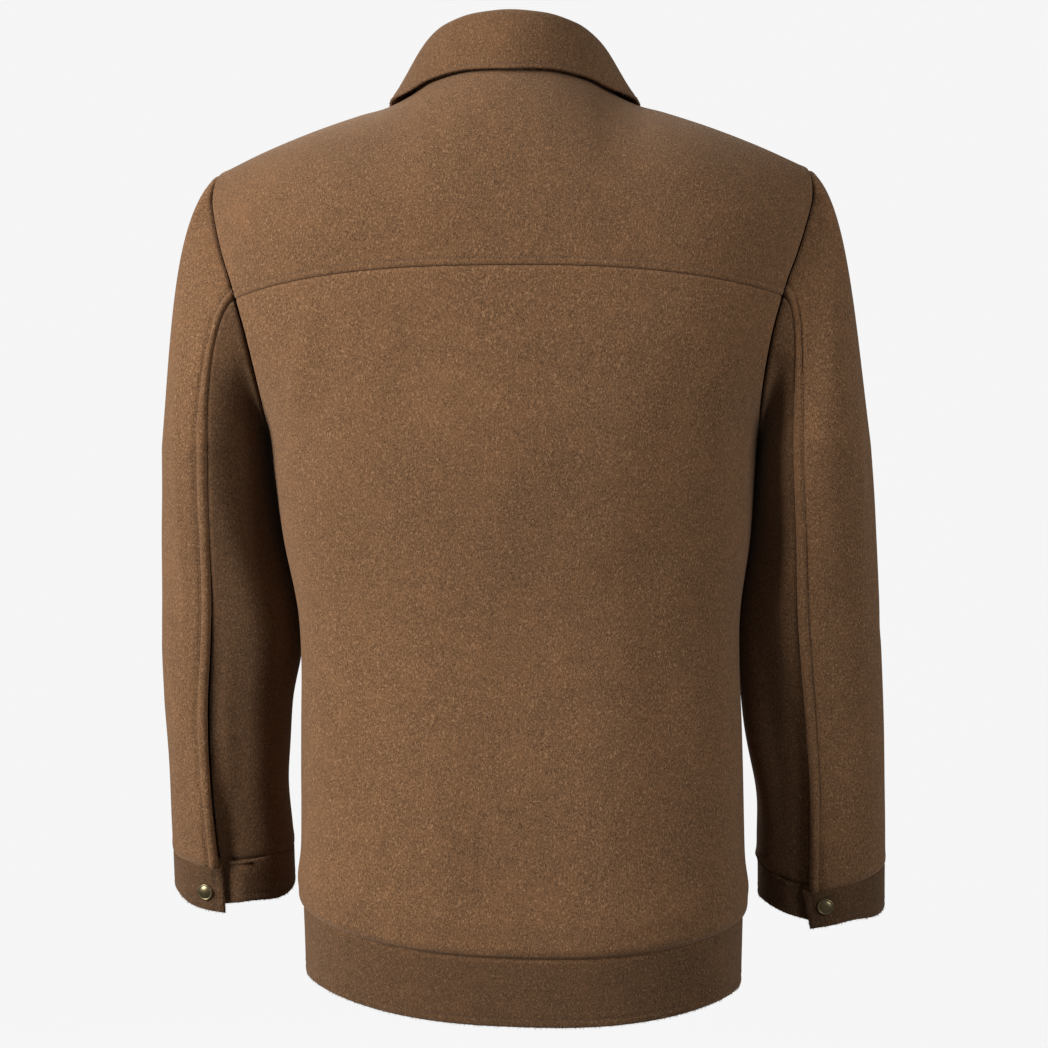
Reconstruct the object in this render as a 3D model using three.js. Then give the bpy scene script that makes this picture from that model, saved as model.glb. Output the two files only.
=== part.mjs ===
// Short wool jacket seen filled out, as if worn, from behind.
// Millimetres, +Z up, the front faces -Y, the wearer's left is +X.
// The origin lies between the two points where the neck seam crosses the shoulders.
import * as THREE from "three";

// Cloth and seams
const WALL = 2.4;
const THICK_WALL = 3.0;
const SEAM_GAP = 0.36;
const SLEEVE_GAP = 0.56;
const LAYER_GAP = 1.4;

// Cross section of the body
const SIDE_Y = -8;
const FULLNESS = 2.5;
const ROUNDING = 2.2;

// Landmarks of the cut
const SHOULDER_X = 237;
const UNDERARM_Z = -266;
const YOKE_DROP = { centre: -144, end: 18.5, reach: 213.5, power: 2.6 };
const YOKE_END_Z = YOKE_DROP.centre - YOKE_DROP.end;
const BAND_SEAM = { side: -645, back: -667, front: -649 };
const BAND_HEIGHT = 54;
const BLOUSE = { depth: 3.2, above: 20, spread: 17 };
const FRONT_SCOOP = 8;
const LAP = 20;
const LAP_RISE = 16;
const LAP_CLEAR = 4;
const NECK_RELIEF = 1.8;

// Half width at the sides and depth from the side line, level by level
const LEVELS = [
  { z: 70, half: 250, back: 126, front: 116 },
  { z: -58, half: 250, back: 126, front: 116 },
  { z: -83, half: 245, back: 126, front: 120 },
  { z: -128, half: 237, back: 126, front: 128 },
  { z: -165, half: 231, back: 126, front: 134 },
  { z: -190, half: 225, back: 126, front: 136 },
  { z: -220, half: 213, back: 125, front: 137 },
  { z: -245, half: 202, back: 125, front: 136 },
  { z: -266, half: 195, back: 124, front: 134 },
  { z: -300, half: 191.5, back: 120, front: 131 },
  { z: -350, half: 186.5, back: 112, front: 128 },
  { z: -406, half: 177, back: 105, front: 124 },
  { z: -446, half: 175.2, back: 104, front: 122 },
  { z: -500, half: 176.2, back: 106, front: 121 },
  { z: -560, half: 176.8, back: 112, front: 121 },
  { z: -620, half: 177, back: 117, front: 122 },
  { z: -645, half: 175.5, back: 118, front: 122 },
  { z: -740, half: 173, back: 115, front: 119 },
];

// Crest of the shoulder and how far below it the cloth turns vertical
const SHOULDER_LINE = [
  { x: -30, z: 42 },
  { x: 0, z: 50 },
  { x: 30, z: 42 },
  { x: 60, z: 22 },
  { x: 80, z: 5 },
  { x: 100, z: -5 },
  { x: 120, z: -10.5 },
  { x: 158, z: -23 },
  { x: 198, z: -38.5 },
  { x: 231, z: -53.5 },
  { x: 260, z: -67 },
];
const TURN_BACK = { side: 122, centre: 68, reach: 90 };
const TURN_FRONT = { side: 180, centre: 340, reach: 120 };

// Seam between body and sleeve, seen from behind
const ARMHOLE = [
  { z: -50, x: 234 },
  { z: -58, x: 237 },
  { z: -70, x: 239 },
  { z: -83, x: 238.5 },
  { z: -105, x: 233 },
  { z: -128, x: 226 },
  { z: -148, x: 218.5 },
  { z: -163, x: 213.5 },
  { z: -190, x: 206 },
  { z: -220, x: 200 },
  { z: -245, x: 196.3 },
  { z: -266, x: 195 },
];

// Sleeve tube below the cap: each arm's outer and inner edge, centre and half depth
const BICEP_Z = -276;
const SLEEVE_END_Z = -607;
const SLEEVE = [
  { z: -276, outLeft: 284.5, inLeft: 197.5, outRight: 284.5, inRight: 197.5, y: -11, deep: 70 },
  { z: -312, outLeft: 287, inLeft: 194, outRight: 287, inRight: 191.5, y: -18, deep: 66 },
  { z: -350, outLeft: 290.5, inLeft: 187, outRight: 288.6, inRight: 185, y: -26, deep: 62 },
  { z: -400, outLeft: 294, inLeft: 180.5, outRight: 290.2, inRight: 177, y: -35, deep: 57 },
  { z: -442, outLeft: 297, inLeft: 181.5, outRight: 291.5, inRight: 175.2, y: -42, deep: 54 },
  { z: -491, outLeft: 297, inLeft: 191.5, outRight: 292.8, inRight: 178.5, y: -49, deep: 51 },
  { z: -540, outLeft: 295.2, inLeft: 194.5, outRight: 293.2, inRight: 185, y: -55, deep: 49 },
  { z: -591, outLeft: 294.6, inLeft: 194, outRight: 293.6, inRight: 188, y: -61, deep: 47 },
  { z: -607, outLeft: 294.4, inLeft: 194, outRight: 293.4, inRight: 189.5, y: -63, deep: 46 },
];
const CUFF_TILT = { slope: 0.3, inward: 0.05, from: 0.3 };
const FRONT_SEAM_TURN = 118;
const CAP_REACH = 0.17;
const CAP_AWAY = { out: 0.82, spread: 0.2, down: 0.54 };
const CAP_SETTLE = { up: 0.4, lean: 0.11 };

// The two arms hang a little differently: extra length and where the back seam
// runs round the sleeve, in degrees from the outer edge, from bicep to cuff
const SIDES = [
  { name: "left", sign: 1, longer: 0, seam: [96, 84, 80, 86], studDown: 0.58 },
  { name: "right", sign: -1, longer: 6, seam: [120, 104, 99, 104], studDown: 0.43 },
];

// The filled-out jacket stands a little askew: its shoulders lean to the wearer's
// left and its lower half swings and drops to the wearer's right
const STANCE = [
  { z: -800, lean: -7, drop: 0.024 },
  { z: -640, lean: -7, drop: 0.024 },
  { z: -465, lean: -4.8, drop: 0.012 },
  { z: -290, lean: 0, drop: 0 },
  { z: -130, lean: 2.2, drop: 0 },
  { z: -20, lean: 1, drop: 0 },
  { z: 70, lean: 0, drop: 0 },
];

// Soft folds of the sleeves: place, size and depth
const SLEEVE_FOLDS = [
  { turn: 150, z: -352, wide: 34, tall: 46, depth: -5.5 },
  { turn: 118, z: -405, wide: 26, tall: 60, depth: 3.0 },
  { turn: -70, z: -425, wide: 40, tall: 24, depth: -4.0 },
  { turn: -95, z: -470, wide: 46, tall: 26, depth: -4.5 },
  { turn: 55, z: -575, wide: 30, tall: 34, depth: 2.5 },
  { turn: 178, z: -560, wide: 40, tall: 30, depth: -3.0 },
];

// Soft folds of the body: place, size and depth, on the back and on the front
const BODY_FOLDS = [
  { face: 1, x: 150, z: -235, wide: 26, tall: 80, depth: 2.5 },
  { face: 1, x: 118, z: -430, wide: 30, tall: 120, depth: -2.5 },
  { face: 1, x: 60, z: -560, wide: 34, tall: 90, depth: 2.0 },
  { face: -1, x: 150, z: -250, wide: 24, tall: 70, depth: -4.0 },
  { face: -1, x: 100, z: -470, wide: 34, tall: 120, depth: 3.0 },
];

// Cuffs
const CUFF_HEIGHT = 34;
const CUFF_FORWARD = 5;
const CUFF_UNDERLAP_TURN = 34;
const CUFF_LAP_TURN = 2;
const CUFF_TUCK_TURN = { from: 3, to: 17 };
const CUFF_STUD_TURN = 18;
const CUFF_CENTRE = { x: 240, y: -66, z: -630 };
const CUFF_SLANT = { left: [1, 2], right: [5, -3], reach: 60 };
const CUFF_HANG_FROM = 0.7;

// How much lower than even edges the cuff's seam and hem hang, by the turn round the
// arm, on the half that laps over at the back and on the half that passes under it
const CUFF_DROPS = {
  left: {
    over: [
      { turn: -118, seam: 4, hem: 3 },
      { turn: -60, seam: 6, hem: 1 },
      { turn: 0, seam: 7.5, hem: 1.5 },
      { turn: 30, seam: 5, hem: 2 },
      { turn: 54, seam: 4.4, hem: 6 },
      { turn: 88, seam: 6, hem: 9.5 },
    ],
    under: [
      { turn: 52, seam: 1, hem: 4 },
      { turn: 88, seam: 1, hem: 4 },
      { turn: 113, seam: 1, hem: 2 },
      { turn: 150, seam: 4, hem: 7.5 },
      { turn: 180, seam: 10.5, hem: 7.5 },
      { turn: 242, seam: 4, hem: 3 },
    ],
  },
  right: {
    over: [
      { turn: -118, seam: 0, hem: 0 },
      { turn: -60, seam: -2, hem: -1 },
      { turn: 0, seam: -4, hem: -3 },
      { turn: 35, seam: -5.5, hem: -5 },
      { turn: 62, seam: -2.5, hem: -7 },
      { turn: 88, seam: 2.2, hem: -2 },
      { turn: 104, seam: 5.5, hem: 2 },
    ],
    under: [
      { turn: 68, seam: -1, hem: -10 },
      { turn: 88, seam: 0, hem: -6 },
      { turn: 104, seam: 1, hem: -3 },
      { turn: 124, seam: 1, hem: -5.5 },
      { turn: 160, seam: 0, hem: -5.6 },
      { turn: 180, seam: 0, hem: -3 },
      { turn: 242, seam: 0, hem: 0 },
    ],
  },
};

// Collar
const NECK = { side: 80, back: 77, front: 76 };
const ROLL = { side: 67.5, back: 70, front: 72 };
const STAND = { front: 25, back: 42 };
const COLLAR_END = 0.955;
const FALL_BACK = { side: 97, back: 83, power: 2 / 1.7 };
const FALL_DRAPE = { side: -0.5, back: 5 };
const FALL_FRONT = { bend: [108, -60], tip: [66, -90] };
const FALL_LIFT = { out: 3.4, up: 4.4 };
const FALL_ROLL = { clear: 1.2, out: 11, up: 3 };
const FALL_HANG = 0.48;

// Press studs
const STUD = { radius: 6.7, crown: 2.3, facets: 14 };
const STUD_PROFILE = [
  { out: 0, up: 0 },
  { out: 1, up: 0 },
  { out: 1, up: 0.29 },
  { out: 0.9, up: 0.48 },
  { out: 0.74, up: 0.41 },
  { out: 0.62, up: 0.82 },
  { out: 0, up: 1 },
];
const FRONT_STUD_Z = [-132, -238, -344, -450, -556];
const BAND_STUD_DROP = 27;

// Grid sizes
const NECK_COLUMNS = 6;
const SHOULDER_COLUMNS = 6;
const YOKE_ROWS = 8;
const BACK_UPPER_ROWS = 4;
const FRONT_UPPER_ROWS = 11;
const BODY_ROWS = 11;
const CAP_ROWS = 6;
const TUBE_ROWS = 10;
const CUFF_COLUMNS = 36;
const BAND_COLUMNS = 44;
const FRONT_SEAM_ROW = 7;
const FALL_ROWS = [0, 0.1, 0.22, 0.4, 0.7, 1];
const ROW_SPREAD = { yoke: 1.7, front: 1.5, lower: 1.35 };
const LAP_COLUMN_SPREAD = 1.15;
const SETTLING_PASSES = 12;
const STEEPEST = 0.995;

// Colours, only to tell the pieces apart
const COLOURS = {
  yoke: 0x7a583d,
  back: 0x77563d,
  frontLeft: 0x755439,
  frontRight: 0x70513a,
  sleeveUpper: 0x7d5a40,
  sleeveUnder: 0x5c422f,
  cuff: 0x6e4f38,
  stand: 0x5f4632,
  fall: 0x6b4d36,
  band: 0x553a25,
  brass: 0x6b5634,
};

const radians = (degrees) => (degrees * Math.PI) / 180;
const steps = (count) => Array.from({ length: count + 1 }, (_, i) => i / count);
const mix = (a, b, t) => a + (b - a) * t;
const bell = (distance, spread) => Math.exp(-((distance / spread) ** 2));

function smoothStep(low, high, value) {
  const t = Math.min(1, Math.max(0, (value - low) / (high - low)));
  return t * t * (3 - 2 * t);
}

// A smooth curve through one column of a table, read by another column
function curve(table, key, column) {
  const rows = [...table].sort((a, b) => a[key] - b[key]);
  const slopes = rows.map((row, i) => {
    const before = rows[Math.max(0, i - 1)];
    const after = rows[Math.min(rows.length - 1, i + 1)];
    return (after[column] - before[column]) / (after[key] - before[key]);
  });
  return (at) => {
    const last = rows.length - 1;
    const place = Math.min(rows[last][key], Math.max(rows[0][key], at));
    let i = 0;
    while (i < last - 1 && place > rows[i + 1][key]) i += 1;
    const span = rows[i + 1][key] - rows[i][key];
    const t = (place - rows[i][key]) / span;
    const rise = rows[i + 1][column] - rows[i][column];
    const bendIn = slopes[i] * span - rise;
    const bendOut = rise - slopes[i + 1] * span;
    const straight = mix(rows[i][column], rows[i + 1][column], t);
    return straight + t * (1 - t) * (bendIn * (1 - t) + bendOut * t);
  };
}

const leanAt = curve(STANCE, "z", "lean");
const dropAt = curve(STANCE, "z", "drop");

function stance({ x, y, z }) {
  return new THREE.Vector3(x + leanAt(z), y, z + dropAt(z) * x);
}

const halfAt = curve(LEVELS, "z", "half");
const backAt = curve(LEVELS, "z", "back");
const frontAt = curve(LEVELS, "z", "front");
const crestAt = curve(SHOULDER_LINE, "x", "z");
const armholeAt = curve(ARMHOLE, "z", "x");
const SHOULDER_Z = crestAt(SHOULDER_X);

function turnHeight(x, face) {
  const turn = face > 0 ? TURN_BACK : TURN_FRONT;
  return turn.side + turn.centre * bell(x, turn.reach);
}

// Depth of the body's cloth at a width x and a height z, on the back or front
function bodyY(x, z, face) {
  const wide = Math.abs(x);
  const depth = face > 0 ? backAt(z) : frontAt(z);
  const side = Math.max(0, 1 - (wide / halfAt(z)) ** FULLNESS) ** (1 / FULLNESS);
  const below = Math.min(1, Math.max(0, (crestAt(wide) - z) / turnHeight(wide, face)));
  const shoulder = Math.sqrt(1 - (1 - below) ** ROUNDING);
  let fold = 0;
  for (const row of BODY_FOLDS) {
    if (row.face !== face) continue;
    fold += row.depth * bell(wide - row.x, row.wide) * bell(z - row.z, row.tall);
  }
  return SIDE_Y + face * (depth + fold) * side * shoulder;
}

// Height of the cloth over a point of the plan, near the neck
function bodyZ(x, y, face) {
  const wide = Math.abs(x);
  let z = crestAt(wide);
  for (let pass = 0; pass < SETTLING_PASSES; pass += 1) {
    const depth = face > 0 ? backAt(z) : frontAt(z);
    const side = Math.max(0, 1 - (wide / halfAt(z)) ** FULLNESS) ** (1 / FULLNESS);
    const out = Math.min(STEEPEST, Math.abs(y - SIDE_Y) / (depth * side));
    const below = 1 - (1 - out * out) ** (1 / ROUNDING);
    z = crestAt(wide) - turnHeight(wide, face) * below;
  }
  return z;
}

// Top edge of the cloth at a width: the neck seam inside, the shoulder crest outside
function topZ(x, face) {
  const wide = Math.abs(x);
  if (wide >= NECK.side) return crestAt(wide);
  const reach = face > 0 ? NECK.back : NECK.front;
  const y = SIDE_Y + face * reach * Math.sqrt(1 - (wide / NECK.side) ** 2);
  return bodyZ(wide, y, face);
}

const yokeSeamZ = (x) =>
  YOKE_DROP.centre - YOKE_DROP.end * (Math.abs(x) / YOKE_DROP.reach) ** YOKE_DROP.power;

function bandSeamZ(turn) {
  const facing = Math.cos(turn);
  const end = facing > 0 ? BAND_SEAM.back : BAND_SEAM.front;
  return mix(BAND_SEAM.side, end, facing * facing);
}

function widestTurn(edgeX, z) {
  return Math.asin(Math.min(1, edgeX / halfAt(z)) ** (FULLNESS / 2));
}

// A point of the upper body: across 0 is the centre, 1 is the armhole seam
function upperPoint(across, edgeZ, edgeX, drop, bottom, face) {
  const turn = Math.abs(across) * widestTurn(edgeX, edgeZ);
  const x = Math.sign(across) * halfAt(edgeZ) * Math.sin(turn) ** (2 / FULLNESS);
  const top = topZ(x, face);
  const z = mix(top, bottom(x), drop);
  return new THREE.Vector3(x, bodyY(x, z, face), z);
}

// A point of the lower body: round is the turn from centre back, in radians
function lowerPoint(round, down) {
  const turn = Math.abs(round);
  const face = Math.cos(turn) >= 0 ? 1 : -1;
  const seam = bandSeamZ(turn);
  const z = mix(UNDERARM_Z, seam, down);
  const swell = BLOUSE.depth * bell(z - seam - BLOUSE.above, BLOUSE.spread);
  const half = halfAt(z);
  const x = half * Math.abs(Math.sin(turn)) ** (2 / FULLNESS);
  const y = bodyY(x, z, face);
  const grow = 1 + swell / half;
  return new THREE.Vector3(Math.sign(round || 1) * x * grow, SIDE_Y + (y - SIDE_Y) * grow, z);
}

function yokePoint(across, up) {
  const drop = (1 - up) ** ROW_SPREAD.yoke;
  const edgeZ = mix(SHOULDER_Z, YOKE_END_Z, drop);
  return upperPoint(across, edgeZ, armholeAt(edgeZ), drop, yokeSeamZ, 1);
}

function backPoint(across, down) {
  if (down > 1) return lowerPoint((across * Math.PI) / 2, down - 1);
  const edgeZ = mix(YOKE_END_Z, UNDERARM_Z, down);
  const turn = Math.abs(across) * widestTurn(armholeAt(edgeZ), edgeZ);
  const x = Math.sign(across) * halfAt(edgeZ) * Math.sin(turn) ** (2 / FULLNESS);
  const z = mix(yokeSeamZ(x), UNDERARM_Z, down);
  return new THREE.Vector3(x, bodyY(x, z, 1), z);
}

// Fronts: across 1 is the armhole and side seam, 0 the centre, -1 the edge of the lap
function frontPoint(across, down) {
  const lapX = across * LAP;
  if (down > 1) {
    const below = down - 1;
    if (across >= 0) return lowerPoint(Math.PI - (across * Math.PI) / 2, below);
    const z = mix(UNDERARM_Z, bandSeamZ(Math.PI), below);
    const centre = lowerPoint(Math.PI, below);
    const bend = bodyY(lapX, z, -1) - bodyY(0, z, -1);
    return new THREE.Vector3(lapX, centre.y + bend, z);
  }
  const drop = down ** ROW_SPREAD.front;
  const edgeZ = mix(SHOULDER_Z, UNDERARM_Z, drop);
  const scoop = FRONT_SCOOP * Math.sin(Math.PI * drop);
  if (across >= 0) {
    return upperPoint(across, edgeZ, armholeAt(edgeZ) - scoop, drop, () => UNDERARM_Z, -1);
  }
  const z = mix(topZ(0, -1), UNDERARM_Z, drop);
  return new THREE.Vector3(lapX, bodyY(lapX, z, -1), z);
}

// The right front passes under the lap of the left one
function tuckedFrontPoint(across, down) {
  const point = frontPoint(across, down);
  const clear = LAP + LAP_CLEAR;
  const tuck = 1 - smoothStep(clear, clear + LAP_RISE, point.x);
  point.y += (WALL + LAYER_GAP) * tuck;
  const nearNeck = Math.max(0, 1 - (down * FRONT_UPPER_ROWS) ** ROW_SPREAD.front);
  point.z -= NECK_RELIEF * bell(point.x, NECK.side / 2) * nearNeck;
  return point;
}

// Armhole ring: 0 underarm, 1 shoulder, 2 end of the yoke, 3 underarm again
function armholePoint(round) {
  if (round <= 1) return frontPoint(1, 1 - round);
  if (round <= 2) return yokePoint(1, 2 - round);
  if (round <= 3) return backPoint(1, round - 2);
  return frontPoint(1, 4 - round);
}

const sleeveOut = { left: curve(SLEEVE, "z", "outLeft"), right: curve(SLEEVE, "z", "outRight") };
const sleeveIn = { left: curve(SLEEVE, "z", "inLeft"), right: curve(SLEEVE, "z", "inRight") };
const sleeveY = curve(SLEEVE, "z", "y");
const sleeveDeep = curve(SLEEVE, "z", "deep");
const SEAM_ROUND = 1 - FRONT_SEAM_ROW / FRONT_UPPER_ROWS;

function backSeamTurn(side, down) {
  const table = side.seam.map((turn, i) => ({ down: i / (side.seam.length - 1), turn }));
  return curve(table, "down", "turn")(down);
}

// Turn round the sleeve, in degrees from its outer edge, of a place on the armhole ring
function sleeveTurn(round, side, down) {
  const back = backSeamTurn(side, down);
  if (round <= SEAM_ROUND) return mix(-180, -FRONT_SEAM_TURN, round / SEAM_ROUND);
  if (round <= 1) return mix(-FRONT_SEAM_TURN, 0, (round - SEAM_ROUND) / (1 - SEAM_ROUND));
  if (round <= 2) return mix(0, back, round - 1);
  if (round <= 3) return mix(back, 180, round - 2);
  return mix(180, 360 - FRONT_SEAM_TURN, (round - 3) / SEAM_ROUND);
}

function sleeveFold(turn, z) {
  let fold = 0;
  for (const row of SLEEVE_FOLDS) {
    const apart = ((((turn - row.turn) % 360) + 540) % 360) - 180;
    fold += row.depth * bell(apart, row.wide) * bell(z - row.z, row.tall);
  }
  return fold;
}

function cuffDrop(side, turn, half, edge) {
  return curve(CUFF_DROPS[side.name][half], "turn", edge)(turn);
}

// A point of the sleeve tube, down 0 at the bicep, 1 at the cuff seam, 1 and more on the cuff
function tubePoint(turn, side, down, inset = 0) {
  const pattern = mix(BICEP_Z, SLEEVE_END_Z, down);
  const out = sleeveOut[side.name](pattern);
  const inner = sleeveIn[side.name](pattern);
  const fold = sleeveFold(turn, pattern) - inset;
  const angle = radians(turn);
  const wide = (out - inner) / 2 + fold;
  const deep = sleeveDeep(pattern) + fold;
  const x = (out + inner) / 2 + wide * Math.cos(angle);
  const behind = deep * Math.sin(angle);
  const hangs = smoothStep(CUFF_TILT.from, 1, down);
  const raised = CUFF_TILT.inward * (out - x) - CUFF_TILT.slope * behind;
  const z = pattern - side.longer * down + raised * hangs;
  return new THREE.Vector3(x, sleeveY(pattern) + behind, z);
}

function sleevePoint(side, half, round, along) {
  if (along >= 1) {
    const around = sleeveTurn(round, side, along - 1);
    const point = tubePoint(around, side, along - 1);
    const hangs = smoothStep(CUFF_HANG_FROM, 1, along - 1);
    point.z -= cuffDrop(side, around, half, "seam") * hangs;
    return point;
  }
  const turn = sleeveTurn(round, side, 0);
  const start = armholePoint(round);
  const end = tubePoint(turn, side, 0);
  const reach = start.distanceTo(end);
  const { out, spread, down } = CAP_AWAY;
  const away = new THREE.Vector3(out, spread * Math.sin(radians(turn)), -down).normalize();
  const leave = start.clone().addScaledVector(away, reach * CAP_REACH);
  const lean = -CAP_SETTLE.lean * Math.max(0, Math.cos(radians(turn)));
  const settle = end.clone().addScaledVector(new THREE.Vector3(lean, 0, 1), reach * CAP_SETTLE.up);
  return new THREE.CubicBezierCurve3(start, leave, settle, end).getPoint(along);
}

// Cuff: a strip that starts under its own end, runs round the arm and laps over
function cuffPoint(side, along, down) {
  const slit = backSeamTurn(side, 1);
  const turn = mix(slit - CUFF_UNDERLAP_TURN, slit + CUFF_LAP_TURN + 360, along);
  const under = 1 - smoothStep(slit + CUFF_TUCK_TURN.from, slit + CUFF_TUCK_TURN.to, turn);
  const end = 360 + slit;
  const slant = mix(...CUFF_SLANT[side.name], down) * smoothStep(end - CUFF_SLANT.reach, end, turn);
  const place = turn + slant;
  const point = tubePoint(place, side, 1, under * (THICK_WALL + LAYER_GAP));
  const [half, around] = turn < 360 - FRONT_SEAM_TURN ? ["under", place] : ["over", place - 360];
  const edges = ["seam", "hem"].map((edge) => cuffDrop(side, around, half, edge));
  point.z -= down * CUFF_HEIGHT + mix(...edges, down);
  point.y -= down * CUFF_FORWARD;
  return point;
}

// Hem band: a strip from the hidden end under the lap round the back to the lap's edge
function bandPoint(along, down) {
  const total = Math.PI * 2;
  const ends = LAP / halfAt(BAND_SEAM.front);
  const run = mix(-Math.PI - ends, Math.PI + ends, along);
  const turn = Math.max(-Math.PI, Math.min(Math.PI, run));
  const seam = bandSeamZ(turn);
  const z = seam - down * BAND_HEIGHT;
  const half = halfAt(z);
  const face = Math.cos(turn) >= 0 ? 1 : -1;
  const wide = half * Math.abs(Math.sin(turn)) ** (2 / FULLNESS);
  let x = Math.sign(turn) * wide;
  if (Math.abs(run) > Math.PI) x = -Math.sign(run) * ((Math.abs(run) - Math.PI) / ends) * LAP;
  const point = new THREE.Vector3(x, bodyY(x, z, face), z);
  const onRight = run < -total / 4 ? 1 : 0;
  const clear = LAP + LAP_CLEAR;
  const tuck = onRight * (1 - smoothStep(clear, clear + LAP_RISE, -x));
  point.y += (THICK_WALL + LAYER_GAP) * tuck;
  return point;
}

// Neck seam and collar lines: turn is 0 at the centre back and 180 degrees at the front
function ringPoint(ring, turn) {
  const reach = Math.cos(turn) >= 0 ? ring.back : ring.front;
  return { x: ring.side * Math.sin(turn), y: SIDE_Y + reach * Math.cos(turn) };
}

function neckPoint(turn) {
  const { x, y } = ringPoint(NECK, turn);
  const face = Math.cos(turn) >= 0 ? 1 : -1;
  return new THREE.Vector3(x, y, bodyZ(x, y, face) + 2 * SEAM_GAP);
}

function rollPoint(turn) {
  const { x, y } = ringPoint(ROLL, turn);
  const height = mix(STAND.front, STAND.back, smoothStep(0, 1, Math.cos(turn / 2) ** 2));
  return new THREE.Vector3(x, y, neckPoint(turn).z + height);
}

function standPoint(across, up) {
  const turn = across * Math.PI * COLLAR_END;
  return neckPoint(turn).lerp(rollPoint(turn), up);
}

function fallEdgePoint(across) {
  const turn = Math.abs(across) * Math.PI;
  const sign = Math.sign(across || 1);
  let x = FALL_BACK.side * Math.sin(turn) ** FALL_BACK.power;
  let y = SIDE_Y + FALL_BACK.back * Math.max(0, Math.cos(turn)) ** FALL_BACK.power;
  if (turn > Math.PI / 2) {
    const t = (turn * 2) / Math.PI - 1;
    const [bendX, bendY] = FALL_FRONT.bend;
    const [tipX, tipY] = FALL_FRONT.tip;
    x = (1 - t) ** 2 * FALL_BACK.side + 2 * t * (1 - t) * bendX + t * t * tipX;
    y = (1 - t) ** 2 * SIDE_Y + 2 * t * (1 - t) * bendY + t * t * tipY;
  }
  const face = turn > Math.PI / 2 ? -1 : 1;
  const away = new THREE.Vector2(x, y - SIDE_Y).normalize();
  const z = bodyZ(x, y, face) + FALL_LIFT.up;
  return new THREE.Vector3(sign * (x + away.x * FALL_LIFT.out), y + away.y * FALL_LIFT.out, z);
}

function fallPoint(across, down) {
  const turn = across * Math.PI * COLLAR_END;
  const roll = rollPoint(turn);
  const edge = fallEdgePoint(across);
  const away = new THREE.Vector3(roll.x, roll.y - SIDE_Y, 0).normalize();
  const along = rollPoint(turn + 0.01).sub(rollPoint(turn - 0.01)).normalize();
  const up = new THREE.Vector3(0, 0, 1).addScaledVector(along, -along.z).normalize();
  const start = roll.clone().addScaledVector(away, -WALL).addScaledVector(up, WALL + FALL_ROLL.clear);
  const over = start.clone().addScaledVector(away, FALL_ROLL.out).addScaledVector(up, FALL_ROLL.up);
  const drape = mix(FALL_DRAPE.side, FALL_DRAPE.back, Math.cos(turn) ** 2);
  const hang = edge.clone().lerp(roll, FALL_HANG).addScaledVector(away, drape);
  return new THREE.CubicBezierCurve3(start, over, hang, edge).getPoint(down);
}

// A closed wall from a surface: its outer points, its inner points and its rims
function wall(name, cut, columns, rows, thickness, centre, material, gap = SEAM_GAP) {
  const tiny = 1e-4;
  const surface = (u, v) => stance(cut(u, v));
  const limit = (list, value) => Math.min(list[list.length - 1], Math.max(list[0], value));
  const slope = (u, v) => {
    const alongU = surface(limit(columns, u + tiny), v);
    alongU.sub(surface(limit(columns, u - tiny), v));
    const alongV = surface(u, limit(rows, v + tiny));
    alongV.sub(surface(u, limit(rows, v - tiny)));
    return alongU.cross(alongV).normalize();
  };
  const middle = [columns[columns.length >> 1], rows[rows.length >> 1]];
  const outwards = surface(...middle).sub(centre);
  const facing = slope(...middle).dot(outwards) >= 0 ? 1 : -1;
  const outer = rows.map((v) => columns.map((u) => surface(u, v)));
  const inner = rows.map((v, j) =>
    columns.map((u, i) => outer[j][i].clone().addScaledVector(slope(u, v), -facing * thickness)));

  const lastRow = rows.length - 1;
  const lastColumn = columns.length - 1;
  for (const grid of [outer, inner]) {
    const moved = grid.map((row) => row.map((point) => point.clone()));
    const pull = (j, i, toJ, toI) => {
      const way = grid[toJ][toI].clone().sub(grid[j][i]).normalize();
      moved[j][i].addScaledVector(way, gap / 2);
    };
    for (let i = 0; i <= lastColumn; i += 1) {
      pull(0, i, 1, i);
      pull(lastRow, i, lastRow - 1, i);
    }
    for (let j = 0; j <= lastRow; j += 1) {
      pull(j, 0, j, 1);
      pull(j, lastColumn, j, lastColumn - 1);
    }
    moved.forEach((row, j) => row.forEach((point, i) => grid[j][i].copy(point)));
  }

  const points = [...outer.flat(), ...inner.flat()];
  const layer = (lastRow + 1) * (lastColumn + 1);
  const at = (side, j, i) => side * layer + j * (lastColumn + 1) + i;
  const faces = [];
  const quad = (a, b, c, d) => faces.push(a, b, c, a, c, d);
  for (let j = 0; j < lastRow; j += 1) {
    for (let i = 0; i < lastColumn; i += 1) {
      quad(at(0, j, i), at(0, j, i + 1), at(0, j + 1, i + 1), at(0, j + 1, i));
      quad(at(1, j + 1, i), at(1, j + 1, i + 1), at(1, j, i + 1), at(1, j, i));
    }
  }
  for (let i = 0; i < lastColumn; i += 1) {
    quad(at(1, 0, i), at(1, 0, i + 1), at(0, 0, i + 1), at(0, 0, i));
    quad(at(0, lastRow, i), at(0, lastRow, i + 1), at(1, lastRow, i + 1), at(1, lastRow, i));
  }
  for (let j = 0; j < lastRow; j += 1) {
    quad(at(0, j, 0), at(0, j + 1, 0), at(1, j + 1, 0), at(1, j, 0));
    quad(at(1, j, lastColumn), at(1, j + 1, lastColumn), at(0, j + 1, lastColumn), at(0, j, lastColumn));
  }
  if (facing < 0) faces.reverse();
  const geometry = new THREE.BufferGeometry();
  const numbers = points.flatMap((point) => [point.x, point.y, point.z]);
  geometry.setAttribute("position", new THREE.Float32BufferAttribute(numbers, 3));
  geometry.setIndex(faces);
  geometry.computeVertexNormals();
  const mesh = new THREE.Mesh(geometry, material);
  mesh.name = name;
  return mesh;
}

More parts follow.
